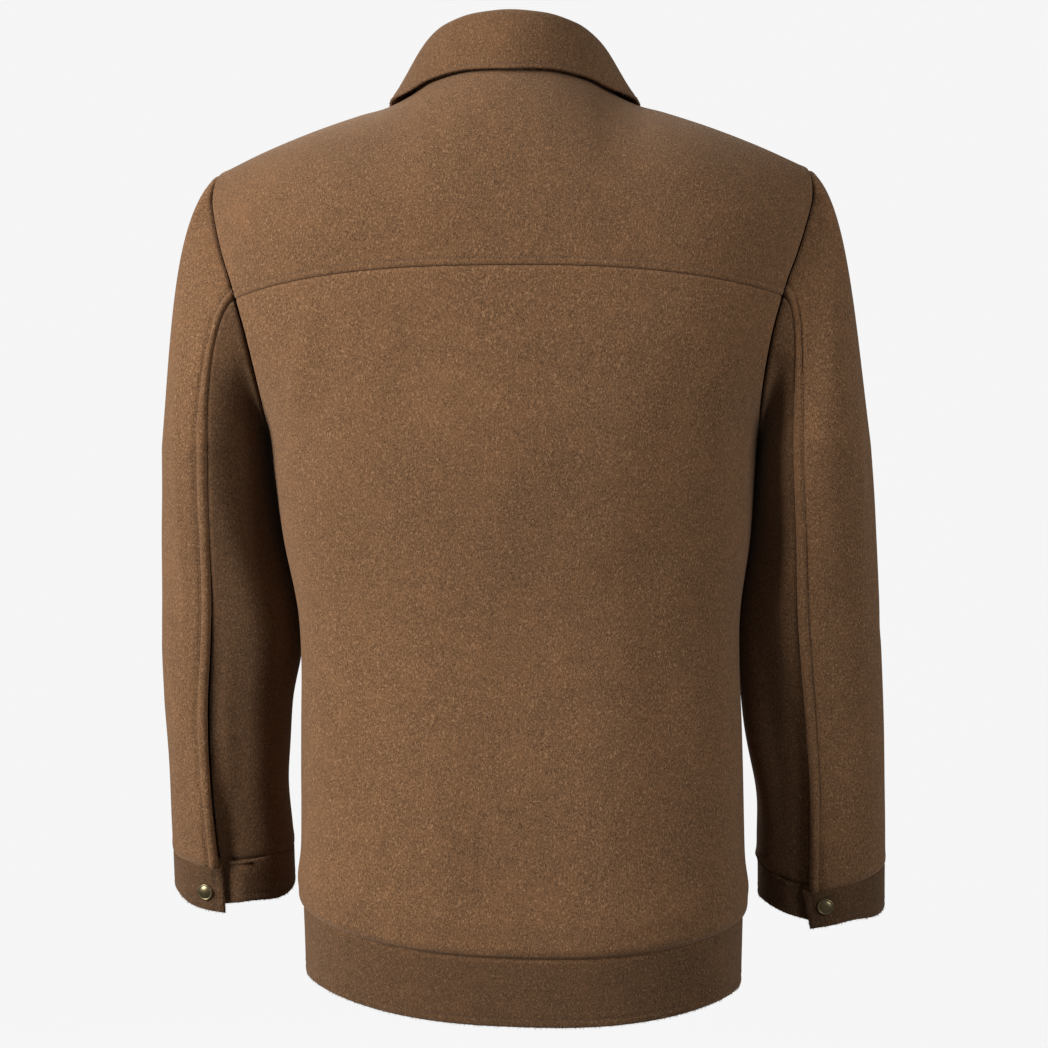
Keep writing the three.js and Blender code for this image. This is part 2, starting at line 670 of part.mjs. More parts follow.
const cloth = (color) => new THREE.MeshStandardMaterial({ color, roughness: 0.95 });
const metal = () =>
  new THREE.MeshStandardMaterial({ color: COLOURS.brass, roughness: 0.42, metalness: 0.85 });

// Share of the way to the armhole at which a body panel's column meets a width on the shoulder
function columnAt(x) {
  const turn = Math.asin((x / halfAt(SHOULDER_Z)) ** (FULLNESS / 2));
  return turn / widestTurn(SHOULDER_X, SHOULDER_Z);
}

// Columns of the body panels: close together along the neck, even over the shoulder
function bodyColumns() {
  const neck = steps(NECK_COLUMNS).map((t) => columnAt(NECK.side * Math.sin((t * Math.PI) / 2)));
  const last = neck[NECK_COLUMNS];
  const shoulder = steps(SHOULDER_COLUMNS).slice(1).map((t) => mix(last, 1, t));
  return [...neck, ...shoulder];
}

const HALF_COLUMNS = bodyColumns();
const FULL_COLUMNS = [...HALF_COLUMNS.slice(1).reverse().map((t) => -t), ...HALF_COLUMNS];
const LOWER_ROWS = steps(BODY_ROWS).slice(1).map((t) => 2 - (1 - t) ** ROW_SPREAD.lower);
const BACK_ROWS = [...steps(BACK_UPPER_ROWS), ...LOWER_ROWS];
const FRONT_ROWS = [...steps(FRONT_UPPER_ROWS), ...LOWER_ROWS];
const COLLAR_COLUMN = columnAt(NECK.side * Math.sin(Math.PI * (1 - COLLAR_END)));
const FRONT_COLUMNS = [-1, 0, COLLAR_COLUMN, ...HALF_COLUMNS.slice(1)];
const LAP_COLUMNS = [LAP + LAP_CLEAR, LAP + LAP_CLEAR + LAP_RISE].map((x) =>
  columnAt(LAP_COLUMN_SPREAD * x));
const TUCKED_COLUMNS = [-1, 0, ...LAP_COLUMNS, ...HALF_COLUMNS.slice(3)];
const BODY_CENTRE = new THREE.Vector3(0, SIDE_Y, UNDERARM_Z);

function backAndYoke() {
  const yoke = wall("back_yoke", yokePoint, FULL_COLUMNS, steps(YOKE_ROWS), WALL, BODY_CENTRE,
    cloth(COLOURS.yoke));
  const back = wall("back_panel", backPoint, FULL_COLUMNS, BACK_ROWS, WALL, BODY_CENTRE,
    cloth(COLOURS.back));
  return [yoke, back];
}

function mirrored(surface, sign) {
  return (u, v) => {
    const point = surface(u, v);
    point.x *= sign;
    return point;
  };
}

function fronts() {
  const left = wall("front_left", frontPoint, FRONT_COLUMNS, FRONT_ROWS, WALL, BODY_CENTRE,
    cloth(COLOURS.frontLeft));
  const right = wall("front_right", mirrored(tuckedFrontPoint, -1), TUCKED_COLUMNS, FRONT_ROWS,
    WALL, BODY_CENTRE, cloth(COLOURS.frontRight));
  return [left, right];
}

// Sleeves share the armhole's points with the body panels that they are sewn to
function sleeve(side) {
  const frontRounds = steps(FRONT_UPPER_ROWS);
  const yokeRounds = steps(YOKE_ROWS).slice(1).map((t) => 1 + t);
  const backRounds = steps(BACK_UPPER_ROWS).map((t) => 2 + t);
  const topRounds = [...frontRounds.filter((t) => t > SEAM_ROUND - 1e-6), ...yokeRounds];
  const lowRounds = frontRounds.filter((t) => t > 0 && t < SEAM_ROUND + 1e-6).map((t) => 3 + t);
  const rows = [...steps(CAP_ROWS), ...steps(TUBE_ROWS).slice(1).map((t) => 1 + t)];
  const surface = (half) =>
    mirrored((round, along) => sleevePoint(side, half, round, along), side.sign);
  const across = sleeveOut[side.name](BICEP_Z) + sleeveIn[side.name](BICEP_Z);
  const centreX = (side.sign * across) / 2;
  const centre = new THREE.Vector3(centreX, sleeveY(BICEP_Z), BICEP_Z);
  const upper = wall(`sleeve_${side.name}_upper`, surface("over"), topRounds, rows, WALL, centre,
    cloth(COLOURS.sleeveUpper), SLEEVE_GAP);
  const under = wall(`sleeve_${side.name}_under`, surface("under"), [...backRounds, ...lowRounds],
    rows, WALL, centre, cloth(COLOURS.sleeveUnder), SLEEVE_GAP);
  return [upper, under];
}

const cuffSurface = (side) =>
  mirrored((along, down) => cuffPoint(side, along, down), side.sign);
const cuffCentre = (side) =>
  new THREE.Vector3(side.sign * CUFF_CENTRE.x, CUFF_CENTRE.y, CUFF_CENTRE.z);

function cuff(side) {
  return wall(`cuff_${side.name}`, cuffSurface(side), steps(CUFF_COLUMNS), steps(2), THICK_WALL,
    cuffCentre(side), cloth(COLOURS.cuff), SLEEVE_GAP);
}

function collar() {
  const quarter = steps(2 * NECK_COLUMNS).slice(1).map((t) => Math.min(1, t / COLLAR_END));
  const columns = [...quarter.map((t) => -t).reverse(), 0, ...quarter];
  const stand = wall("collar_stand", standPoint, columns, steps(2), WALL, BODY_CENTRE,
    cloth(COLOURS.stand));
  const centre = new THREE.Vector3(0, SIDE_Y, 0);
  const fall = wall("collar_fall", fallPoint, columns, FALL_ROWS, WALL, centre,
    cloth(COLOURS.fall));
  return [stand, fall];
}

function hemBand() {
  return wall("hem_band", bandPoint, steps(BAND_COLUMNS), steps(3), THICK_WALL,
    new THREE.Vector3(0, SIDE_Y, BAND_SEAM.back), cloth(COLOURS.band));
}

// A press stud's domed cap, seated on a surface with its axis along the cloth's normal
function stud(name, point, normal) {
  const profile = STUD_PROFILE.map(({ out, up }) =>
    new THREE.Vector2(out * STUD.radius, up * STUD.crown));
  const mesh = new THREE.Mesh(new THREE.LatheGeometry(profile, STUD.facets), metal());
  mesh.name = name;
  mesh.quaternion.setFromUnitVectors(new THREE.Vector3(0, 1, 0), normal);
  mesh.position.copy(point).addScaledVector(normal, SEAM_GAP);
  return mesh;
}

function surfaceNormal(cut, u, v, centre) {
  const tiny = 1e-3;
  const surface = (across, down) => stance(cut(across, down));
  const alongU = surface(u + tiny, v).sub(surface(u - tiny, v));
  const alongV = surface(u, v + tiny).sub(surface(u, v - tiny));
  const normal = alongU.cross(alongV).normalize();
  return normal.dot(surface(u, v).sub(centre)) < 0 ? normal.negate() : normal;
}

function cuffStud(side) {
  const surface = cuffSurface(side);
  const along = 1 - CUFF_STUD_TURN / (360 + CUFF_UNDERLAP_TURN + CUFF_LAP_TURN);
  const normal = surfaceNormal(surface, along, side.studDown, cuffCentre(side));
  return stud(`cuff_stud_${side.name}`, stance(surface(along, side.studDown)), normal);
}

function frontStuds() {
  const forward = new THREE.Vector3(0, -1, 0);
  const onFront = FRONT_STUD_Z.map((z, i) => {
    const point = new THREE.Vector3(0, bodyY(0, z, -1), z);
    const tilt = bodyY(0, z + STUD.radius, -1) - bodyY(0, z - STUD.radius, -1);
    const normal = new THREE.Vector3(0, -2 * STUD.radius, tilt).normalize();
    return stud(`front_stud_${i + 1}`, stance(point), normal);
  });
  const bandZ = BAND_SEAM.front - BAND_STUD_DROP;
  const bandSpot = new THREE.Vector3(0, bodyY(0, bandZ, -1), bandZ);
  return [...onFront, stud("band_stud", stance(bandSpot), forward)];
}

const jacket = new THREE.Group();
jacket.add(...backAndYoke(), ...fronts(), ...collar(), hemBand(), ...frontStuds());
for (const side of SIDES) {
  jacket.add(...sleeve(side), cuff(side), cuffStud(side));
}

export default jacket;
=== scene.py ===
# %% [markdown]
# # A wool jacket, filled out and seen from behind
# The real jacket is cut from thick felted wool: a yoke, a back, two fronts, two-piece
# sleeves with cuffs, a collar on a stand and a hem band, closed with brass press studs.
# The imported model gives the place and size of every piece. This lesson makes each one
# again as a thin, finely meshed wall, sews it, and gives it its finish.

# %% Load the fixed frame
import math

import bpy
import numpy as np
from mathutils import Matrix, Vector


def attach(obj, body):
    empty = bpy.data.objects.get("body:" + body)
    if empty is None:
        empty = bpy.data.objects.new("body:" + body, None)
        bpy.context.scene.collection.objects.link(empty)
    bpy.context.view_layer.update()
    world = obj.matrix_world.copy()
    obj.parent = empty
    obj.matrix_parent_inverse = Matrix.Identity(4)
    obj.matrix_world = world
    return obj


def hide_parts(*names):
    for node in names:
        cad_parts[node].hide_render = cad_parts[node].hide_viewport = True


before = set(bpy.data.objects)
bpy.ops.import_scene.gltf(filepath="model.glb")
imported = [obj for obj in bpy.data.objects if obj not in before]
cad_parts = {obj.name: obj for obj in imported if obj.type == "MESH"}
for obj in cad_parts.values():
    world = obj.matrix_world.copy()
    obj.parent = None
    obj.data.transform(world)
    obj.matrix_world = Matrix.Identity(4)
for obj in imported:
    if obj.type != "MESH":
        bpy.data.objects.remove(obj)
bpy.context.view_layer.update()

print("nodes in the frame:", len(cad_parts))

# %% [markdown]
# ## Smooth numbers
# A pattern cutter writes a width at a few levels and lets the curve run between them.
# The same is done here: each table has one row for each level, and a smooth curve passes
# through all of its rows. Lengths are in millimetres until a mesh is made.

# %% Bells, steps and curves through tables
MILLIMETRE = 0.001


def bell(distance, spread):
    return np.exp(-((distance / spread) ** 2))


def smooth_step(low, high, value):
    t = np.clip((value - low) / (high - low), 0.0, 1.0)
    return t * t * (3 - 2 * t)


def mix(a, b, t):
    return a + (b - a) * t


def curve_through(places, values):
    """A smooth curve through rows of a table, held level beyond its ends."""
    order = np.argsort(places)
    at = np.asarray(places, float)[order]
    to = np.asarray(values, float)[order]
    near = np.arange(len(at))
    before, after = np.maximum(near - 1, 0), np.minimum(near + 1, len(at) - 1)
    slopes = (to[after] - to[before]) / (at[after] - at[before])

    def read(where):
        place = np.clip(where, at[0], at[-1])
        i = np.clip(np.searchsorted(at, place, side="right") - 1, 0, len(at) - 2)
        span = at[i + 1] - at[i]
        t = (place - at[i]) / span
        rise = to[i + 1] - to[i]
        bend_in = slopes[i] * span - rise
        bend_out = rise - slopes[i + 1] * span
        return to[i] + rise * t + t * (1 - t) * (bend_in * (1 - t) + bend_out * t)

    return read


def columns_of(table):
    """One smooth curve for each column of a table, read by its first column."""
    names = table["columns"].split()
    rows = np.array(table["rows"], float)
    return {name: curve_through(rows[:, 0], rows[:, i]) for i, name in enumerate(names) if i}


def point(x, y, z):
    return np.stack(np.broadcast_arrays(x, y, z), axis=-1).astype(float)


def unit(vectors):
    return vectors / np.maximum(np.linalg.norm(vectors, axis=-1, keepdims=True), 1e-9)


halfway = float(curve_through((0, 1, 2), (0, 1, 4))(1.5))
print("a curve through 0, 1 and 4 reads", round(halfway, 3), "halfway in its last span")

# %% [markdown]
# ## The body of the jacket
# A jacket that is filled out is a soft rounded box: full at the shoulder blades, hollow
# in the small of the back, full again over the seat. Each level is a rounded oval whose
# half width and depth come from the table. Near the top the cloth turns over the shoulder.

# %% The body's levels and shoulder line
WALL = 2.4
THICK_WALL = 3.0
LAYER_GAP = 1.4
SIDE_Y = -8
FULLNESS = 2.5
ROUNDING = 2.2
SHOULDER_X = 237
UNDERARM_Z = -266
YOKE_DROP = {"centre": -144, "end": 18.5, "reach": 213.5, "power": 2.6}
YOKE_END_Z = YOKE_DROP["centre"] - YOKE_DROP["end"]
BAND_SEAM = {"side": -645, "back": -667, "front": -649}
BAND_HEIGHT = 54
BAND_LEAN = 0.08
BLOUSE = {"depth": 3.2, "above": 20, "spread": 17}
FRONT_SCOOP = 8
LAP = 20
LAP_RISE = 16
LAP_CLEAR = 4
NECK_RELIEF = 1.8
NECK_RELIEF_REACH = 11
ROW_SPREAD = {"yoke": 1.7, "front": 1.5}

LEVELS = columns_of({"columns": "z half back front", "rows": [
    (70, 250, 126, 116), (-58, 250, 126, 116), (-83, 245, 126, 120), (-128, 237, 126, 128),
    (-165, 231, 126, 134), (-190, 225, 126, 136), (-220, 213, 125, 137), (-245, 202, 125, 136),
    (-266, 195, 124, 134), (-300, 191.5, 120, 131), (-350, 186.5, 112, 128),
    (-406, 177, 105, 124), (-446, 175.2, 104, 122), (-500, 176.2, 106, 121),
    (-560, 176.8, 112, 121), (-620, 177, 117, 122), (-645, 175.5, 118, 122),
    (-740, 173, 115, 119)]})
SHOULDER_LINE = columns_of({"columns": "x z", "rows": [
    (-30, 42), (0, 50), (30, 42), (60, 22), (80, 5), (100, -5), (120, -10.5), (158, -23),
    (198, -38.5), (231, -53.5), (260, -67)]})
ARMHOLE = columns_of({"columns": "z x", "rows": [
    (-50, 234), (-58, 237), (-70, 239), (-83, 238.5), (-105, 233), (-128, 226),
    (-148, 218.5), (-163, 213.5), (-190, 206), (-220, 200), (-245, 196.3), (-266, 195)]})
TURN_BACK = {"side": 122, "centre": 68, "reach": 90}
TURN_FRONT = {"side": 180, "centre": 340, "reach": 120}
BODY_FOLDS = [
    {"face": 1, "x": 150, "z": -235, "wide": 26, "tall": 80, "depth": 2.5},
    {"face": 1, "x": 118, "z": -430, "wide": 30, "tall": 120, "depth": -2.5},
    {"face": 1, "x": 60, "z": -560, "wide": 34, "tall": 90, "depth": 2.0},
    {"face": -1, "x": 150, "z": -250, "wide": 24, "tall": 70, "depth": -4.0},
    {"face": -1, "x": 100, "z": -470, "wide": 34, "tall": 120, "depth": 3.0},
]
half_at, back_at, front_at = LEVELS["half"], LEVELS["back"], LEVELS["front"]
crest_at, armhole_at = SHOULDER_LINE["z"], ARMHOLE["x"]
SHOULDER_Z = float(crest_at(SHOULDER_X))
print("shoulder point at", SHOULDER_X, "mm, height", round(SHOULDER_Z, 1), "mm")

# %% [markdown]
# ## The stance
# A jacket never hangs quite straight: this one leans a few millimetres to one side and
# its hem drops on the left. Tilting the finished mesh would tilt the shoulders too, so
# the lean and the drop are read from a table by height and added to every point.

# %% Lean and drop
STANCE = columns_of({"columns": "z lean drop", "rows": [
    (-800, -7, 0.024), (-640, -7, 0.024), (-465, -4.8, 0.012), (-290, 0, 0), (-130, 2.2, 0),
    (-20, 1, 0), (70, 0, 0)]})


def stance(p):
    x, y, z = p[..., 0], p[..., 1], p[..., 2]
    return point(x + STANCE["lean"](z), y, z + STANCE["drop"](z) * x)


print("lean at the hem:", float(STANCE["lean"](BAND_SEAM["back"])), "mm")

# %% [markdown]
# ## How deep the body is
# Seen from above the filled body is a rounded oval, flatter than an ellipse. Towards the
# shoulder line it curves in until front and back meet. One formula gives both faces, so
# yoke, back and fronts lie on one smooth form, as pieces do that hang on one figure.

# %% Depth of the body's cloth
SOLVE_STEPS = 12
NEARLY_LEVEL = 0.995


def turn_height(x, face):
    back = TURN_BACK["side"] + TURN_BACK["centre"] * bell(x, TURN_BACK["reach"])
    front = TURN_FRONT["side"] + TURN_FRONT["centre"] * bell(x, TURN_FRONT["reach"])
    return np.where(face > 0, back, front)


def depth_at(z, face):
    return np.where(face > 0, back_at(z), front_at(z))


def side_fall(wide, z):
    return np.clip(1 - (wide / half_at(z)) ** FULLNESS, 0, 1) ** (1 / FULLNESS)


def body_y(x, z, face):
    wide = np.abs(x)
    below = np.clip((crest_at(wide) - z) / turn_height(wide, face), 0, 1)
    shoulder = np.sqrt(1 - (1 - below) ** ROUNDING)
    fold = 0
    for row in BODY_FOLDS:
        here = bell(wide - row["x"], row["wide"]) * bell(z - row["z"], row["tall"])
        fold = fold + row["depth"] * here * (face == row["face"])
    return SIDE_Y + face * (depth_at(z, face) + fold) * side_fall(wide, z) * shoulder


def body_z(x, y, face):
    """Height of the cloth over a point of the plan, near the neck."""
    wide = np.abs(x)
    z = crest_at(wide)
    for _ in range(SOLVE_STEPS):
        out = np.abs(y - SIDE_Y) / np.maximum(depth_at(z, face) * side_fall(wide, z), 1)
        below = 1 - (1 - np.minimum(NEARLY_LEVEL, out) ** 2) ** (1 / ROUNDING)
        z = crest_at(wide) - turn_height(wide, face) * below
    return z


print("depth at the underarm:", round(float(body_y(0, UNDERARM_Z, 1) - body_y(0, UNDERARM_Z, -1))),
      "mm")

# %% [markdown]
# ## Cutting the body's pieces
# Every piece is a surface with two coordinates, one across the cloth and one along it.
# Neighbours share the same border curve, so a seam closes by itself, as it does when two
# pieces are cut with the same notches.

# %% Seam lines of the body
NECK = {"side": 80, "back": 77, "front": 76}


def top_z(x, face):
    wide = np.abs(x)
    reach = np.where(face > 0, NECK["back"], NECK["front"])
    ring = np.sqrt(np.clip(1 - (wide / NECK["side"]) ** 2, 0, 1))
    inside = body_z(wide, SIDE_Y + face * reach * ring, face)
    return np.where(wide >= NECK["side"], crest_at(wide), inside)


def yoke_seam_z(x):
    share = (np.abs(x) / YOKE_DROP["reach"]) ** YOKE_DROP["power"]
    return YOKE_DROP["centre"] - YOKE_DROP["end"] * share


def band_seam_z(turn):
    facing = np.cos(turn)
    end = np.where(facing > 0, BAND_SEAM["back"], BAND_SEAM["front"])
    return mix(BAND_SEAM["side"], end, facing * facing)


def widest_turn(edge_x, z):
    return np.arcsin(np.minimum(1, edge_x / half_at(z)) ** (FULLNESS / 2))


print("the yoke seam drops from", float(yoke_seam_z(0)), "to", YOKE_END_Z, "mm")


# %% Yoke and back
def upper_x(across, edge_z):
    turn = np.abs(across) * widest_turn(armhole_at(edge_z), edge_z)
    return np.sign(across) * half_at(edge_z) * np.sin(turn) ** (2 / FULLNESS)


def lower_point(turn, down):
    """A point of the lower body: turn runs from centre back (0) to centre front."""
    round_ = np.abs(turn)
    face = np.where(np.cos(round_) >= 0, 1, -1)
    seam = band_seam_z(round_)
    z = mix(UNDERARM_Z, seam, down)
    half = half_at(z)
    x = half * np.abs(np.sin(round_)) ** (2 / FULLNESS)
    grow = 1 + BLOUSE["depth"] * bell(z - seam - BLOUSE["above"], BLOUSE["spread"]) / half
    side = np.where(turn < 0, -1, 1)
    return point(side * x * grow, SIDE_Y + (body_y(x, z, face) - SIDE_Y) * grow, z)


def yoke_point(across, up):
    drop = (1 - up) ** ROW_SPREAD["yoke"]
    edge_z = mix(SHOULDER_Z, YOKE_END_Z, drop)
    x = upper_x(across, edge_z)
    z = mix(top_z(x, 1), yoke_seam_z(x), drop)
    return point(x, body_y(x, z, 1), z)


def choose(test, first, second):
    return np.where(test[..., None], first, second)


def back_point(across, down):
    across, down = np.broadcast_arrays(across, down)
    edge_z = mix(YOKE_END_Z, UNDERARM_Z, np.minimum(down, 1))
    x = upper_x(across, edge_z)
    z = mix(yoke_seam_z(x), UNDERARM_Z, np.minimum(down, 1))
    above = point(x, body_y(x, z, 1), z)
    return choose(down > 1, lower_point(across * math.pi / 2, np.maximum(down - 1, 0)), above)


# %% [markdown]
# ## The fronts
# The fronts run from the shoulder and neck seams to the band. The left one laps over the
# right, so past the centre each has a strip of its own, and the right one is set back
# by the cloth's thickness there. Two full fronts that share one formula would touch.

# %% Fronts
def front_upper(across, down):
    drop = down ** ROW_SPREAD["front"]
    edge_z = mix(SHOULDER_Z, UNDERARM_Z, drop)
    scoop = FRONT_SCOOP * np.sin(math.pi * drop)
    turn = np.maximum(across, 0) * widest_turn(armhole_at(edge_z) - scoop, edge_z)
    x = half_at(edge_z) * np.sin(turn) ** (2 / FULLNESS)
    x = np.where(across < 0, across * LAP, x)
    z = mix(top_z(np.maximum(x, 0), -1), UNDERARM_Z, drop)
    return point(x, body_y(x, z, -1), z)


def front_lower(across, below):
    inside = lower_point(math.pi - np.maximum(across, 0) * math.pi / 2, below)
    lap_x = across * LAP
    z = mix(UNDERARM_Z, band_seam_z(math.pi), below)
    bend = body_y(lap_x, z, -1) - body_y(0 * lap_x, z, -1)
    beyond = point(lap_x, inside[..., 1] + bend, z)
    return choose(across < 0, beyond, inside)


def front_point(across, down):
    """Fronts: across 1 is the side, 0 the centre, -1 the edge of the lap."""
    across, down = np.broadcast_arrays(np.asarray(across, float), down)
    above = front_upper(across, np.minimum(down, 1))
    return choose(down > 1, front_lower(across, np.maximum(down - 1, 0)), above)


def tucked_front_point(across, down):
    """The right front, which passes under the lap of the left one."""
    p = front_point(across, down)
    clear = LAP + LAP_CLEAR
    tuck = 1 - smooth_step(clear, clear + LAP_RISE, p[..., 0])
    p[..., 1] += (WALL + LAYER_GAP) * tuck
    near_neck = np.maximum(0, 1 - (down * NECK_RELIEF_REACH) ** ROW_SPREAD["front"])
    p[..., 2] -= NECK_RELIEF * bell(p[..., 0], NECK["side"] / 2) * near_neck
    return p


hidden = tucked_front_point(-1, 1)[1] - front_point(-1, 1)[1]
print("the right front lies", round(float(hidden), 1), "mm behind the left one's lap")

# %% [markdown]
# ## Sleeves and cuffs
# A tailored sleeve is two pieces: an upper one that shows, and a narrower under one. It
# hangs from the armhole, a little forward, and bends softly at the elbow. The tube below
# the arm is a row of ovals, and a short cap joins it to the armhole's own border.

# %% The sleeve's levels
BICEP_Z = -276
SLEEVE_END_Z = -607
SLEEVE = columns_of({"columns": "z out_left in_left out_right in_right y deep", "rows": [
    (-276, 284.5, 197.5, 284.5, 197.5, -11, 70), (-312, 287, 194, 287, 191.5, -18, 66),
    (-350, 290.5, 187, 288.6, 185, -26, 62), (-400, 294, 180.5, 290.2, 177, -35, 57),
    (-442, 297, 181.5, 291.5, 175.2, -42, 54), (-491, 297, 191.5, 292.8, 178.5, -49, 51),
    (-540, 295.2, 194.5, 293.2, 185, -55, 49), (-591, 294.6, 194, 293.6, 188, -61, 47),
    (-607, 294.4, 194, 293.4, 189.5, -63, 46)]})
CUFF_TILT = {"slope": 0.3, "inward": 0.05, "from": 0.3}
FRONT_SEAM_TURN = 118
SEAM_ROUND = 4 / 11
CAP_REACH = 0.17
CAP_AWAY = {"out": 0.82, "round": 0.2, "down": 0.54}
CAP_SETTLE = {"up": 0.4, "lean": 0.11}
CUFF_HANG_FROM = 0.7
SIDES = [
    {"name": "left", "sign": 1, "longer": 0, "seam": [96, 84, 80, 86]},
    {"name": "right", "sign": -1, "longer": 6, "seam": [120, 104, 99, 104]},
]
for side in SIDES:
    side["seam_at"] = curve_through(np.linspace(0, 1, len(side["seam"])), side["seam"])
SLEEVE_FOLDS = [
    {"turn": 150, "z": -352, "wide": 34, "tall": 46, "depth": -5.5},
    {"turn": 118, "z": -405, "wide": 26, "tall": 60, "depth": 3.0},
    {"turn": -70, "z": -425, "wide": 40, "tall": 24, "depth": -4.0},
    {"turn": -95, "z": -470, "wide": 46, "tall": 26, "depth": -4.5},
    {"turn": 55, "z": -575, "wide": 30, "tall": 34, "depth": 2.5},
    {"turn": 178, "z": -560, "wide": 40, "tall": 30, "depth": -3.0},
]
print("folds in the form of each sleeve:", len(SLEEVE_FOLDS))


# %% The armhole's border
def armhole_point(round_):
    places = [
        front_point(1 + 0 * round_, np.clip(1 - round_, 0, 1)),
        yoke_point(1 + 0 * round_, np.clip(2 - round_, 0, 1)),
        back_point(1 + 0 * round_, np.clip(round_ - 2, 0, 1)),
        front_point(1 + 0 * round_, np.clip(4 - round_, 0, 1)),
    ]
    tests = [round_ <= 1, round_ <= 2, round_ <= 3]
    result = places[3]
    for test, place in reversed(list(zip(tests, places))):
        result = choose(test, place, result)
    return result


def sleeve_turn(round_, side, down):
    """Turn round the sleeve, in degrees from its outer edge, of a place on the armhole."""
    back = side["seam_at"](down)
    places = [
        mix(-180, -FRONT_SEAM_TURN, round_ / SEAM_ROUND),
        mix(-FRONT_SEAM_TURN, 0, (round_ - SEAM_ROUND) / (1 - SEAM_ROUND)),
        mix(0, back, round_ - 1),
        mix(back, 180, round_ - 2),
    ]
    last = mix(180, 360 - FRONT_SEAM_TURN, (round_ - 3) / SEAM_ROUND)
    return np.select([round_ <= SEAM_ROUND, round_ <= 1, round_ <= 2, round_ <= 3], places, last)


# %% [markdown]
# ## How low the cuff hangs
# A worn cuff is never level: its lap sags from the stud, and its seam rises where the
# sleeve is full. The drop of its seam and its hem is read from the turn round the wrist,
# apart for the side that lies over and the side that lies under at the lap.

# %% Drops of seam and hem
CUFF_DROPS = {
    "left": {
        "over": columns_of({"columns": "turn seam hem", "rows": [
            (-118, 4, 3), (-60, 6, 1), (0, 7.5, 1.5), (30, 5, 2), (54, 4.4, 6), (88, 6, 9.5)]}),
        "under": columns_of({"columns": "turn seam hem", "rows": [
            (52, 1, 4), (88, 1, 4), (113, 1, 2), (150, 4, 7.5), (180, 10.5, 7.5), (242, 4, 3)]})},
    "right": {
        "over": columns_of({"columns": "turn seam hem", "rows": [
            (-118, 0, 0), (-60, -2, -1), (0, -4, -3), (35, -5.5, -5), (62, -2.5, -7),
            (88, 2.2, -2), (104, 5.5, 2)]}),
        "under": columns_of({"columns": "turn seam hem", "rows": [
            (68, -1, -10), (88, 0, -6), (104, 1, -3), (124, 1, -5.5), (160, 0, -5.6),
            (180, 0, -3), (242, 0, 0)]})},
}


def cuff_drop(side, turn, under, edge):
    """How much lower than an even hem this place of the cuff hangs."""
    drops = CUFF_DROPS[side["name"]]
    return np.where(under, drops["under"][edge](turn), drops["over"][edge](turn))


for side in SIDES:
    sag = float(cuff_drop(side, side["seam_at"](1), False, "hem"))
    print(f"{side['name']} cuff: its lap's hem hangs {sag:.1f} mm low")

# %% [markdown]
# ## The tube of the sleeve
# Below the underarm the sleeve is a row of ovals that moves forward as an arm hangs. From
# the armhole to the first oval the cloth leaves at a slant and then turns down: four
# points of a curve say both, where a straight strip would fold at the underarm.

# %% From armhole to cuff
def apart_in_degrees(turn, other):
    return (turn - other + 180) % 360 - 180


def tube_point(turn, side, down, inset=0):
    pattern = mix(BICEP_Z, SLEEVE_END_Z, np.minimum(down, 1))
    out, inner = (SLEEVE[edge + side["name"]](pattern) for edge in ("out_", "in_"))
    fold = -inset
    for row in SLEEVE_FOLDS:
        here = bell(apart_in_degrees(turn, row["turn"]), row["wide"])
        fold = fold + row["depth"] * here * bell(pattern - row["z"], row["tall"])
    angle = np.radians(turn)
    x = (out + inner) / 2 + ((out - inner) / 2 + fold) * np.cos(angle)
    behind = (SLEEVE["deep"](pattern) + fold) * np.sin(angle)
    hangs = smooth_step(CUFF_TILT["from"], 1, down)
    raised = CUFF_TILT["inward"] * (out - x) - CUFF_TILT["slope"] * behind
    return point(x, SLEEVE["y"](pattern) + behind, pattern - side["longer"] * down + raised * hangs)


def bezier(p0, p1, p2, p3, t):
    t = t[..., None]
    return ((1 - t) ** 3 * p0 + 3 * (1 - t) ** 2 * t * p1
            + 3 * (1 - t) * t * t * p2 + t ** 3 * p3)


def sleeve_point(side, round_, along):
    round_, along = np.broadcast_arrays(round_, along)
    below = np.maximum(along - 1, 0)
    around = sleeve_turn(round_, side, below)
    tube = tube_point(around, side, below)
    hangs = smooth_step(CUFF_HANG_FROM, 1, below)
    tube[..., 2] -= cuff_drop(side, around, round_ > 2, "seam") * hangs
    turn = sleeve_turn(round_, side, 0)
    start = armhole_point(round_)
    end = tube_point(turn, side, 0)
    reach = np.linalg.norm(end - start, axis=-1, keepdims=True)
    behind = CAP_AWAY["round"] * np.sin(np.radians(turn))
    away = unit(point(CAP_AWAY["out"], behind, -CAP_AWAY["down"]))
    lean = -CAP_SETTLE["lean"] * np.maximum(0, np.cos(np.radians(turn)))
    settle = end + point(lean, 0, 1) * reach * CAP_SETTLE["up"]
    cap = bezier(start, start + away * reach * CAP_REACH, settle, end, np.minimum(along, 1))
    return choose(along >= 1, tube, cap)


# %% [markdown]
# ## The cuffs
# A cuff is a strip that goes once round the sleeve's end and laps over itself at the back
# seam, where a stud closes it. The strip starts under the lap, pushed in by one thickness,
# and its upper edge is tucked a little way up inside the sleeve, so no slit shows.

# %% The cuff laps over itself at the back seam
CUFF_HEIGHT = 34
CUFF_FORWARD = 5
CUFF_UNDERLAP_TURN = 34
CUFF_LAP_TURN = 2
CUFF_TUCK_TURN = {"from": 3, "to": 22}
CUFF_SLANT = {"left": (1, 2), "right": (5, -3), "reach": 60}
CUFF_ALLOWANCE = {"up": 0.12, "in": 2.9, "share": 0.03}


def cuff_turn(side, along):
    slit = side["seam_at"](1)
    return mix(slit - CUFF_UNDERLAP_TURN, slit + CUFF_LAP_TURN + 360, along)


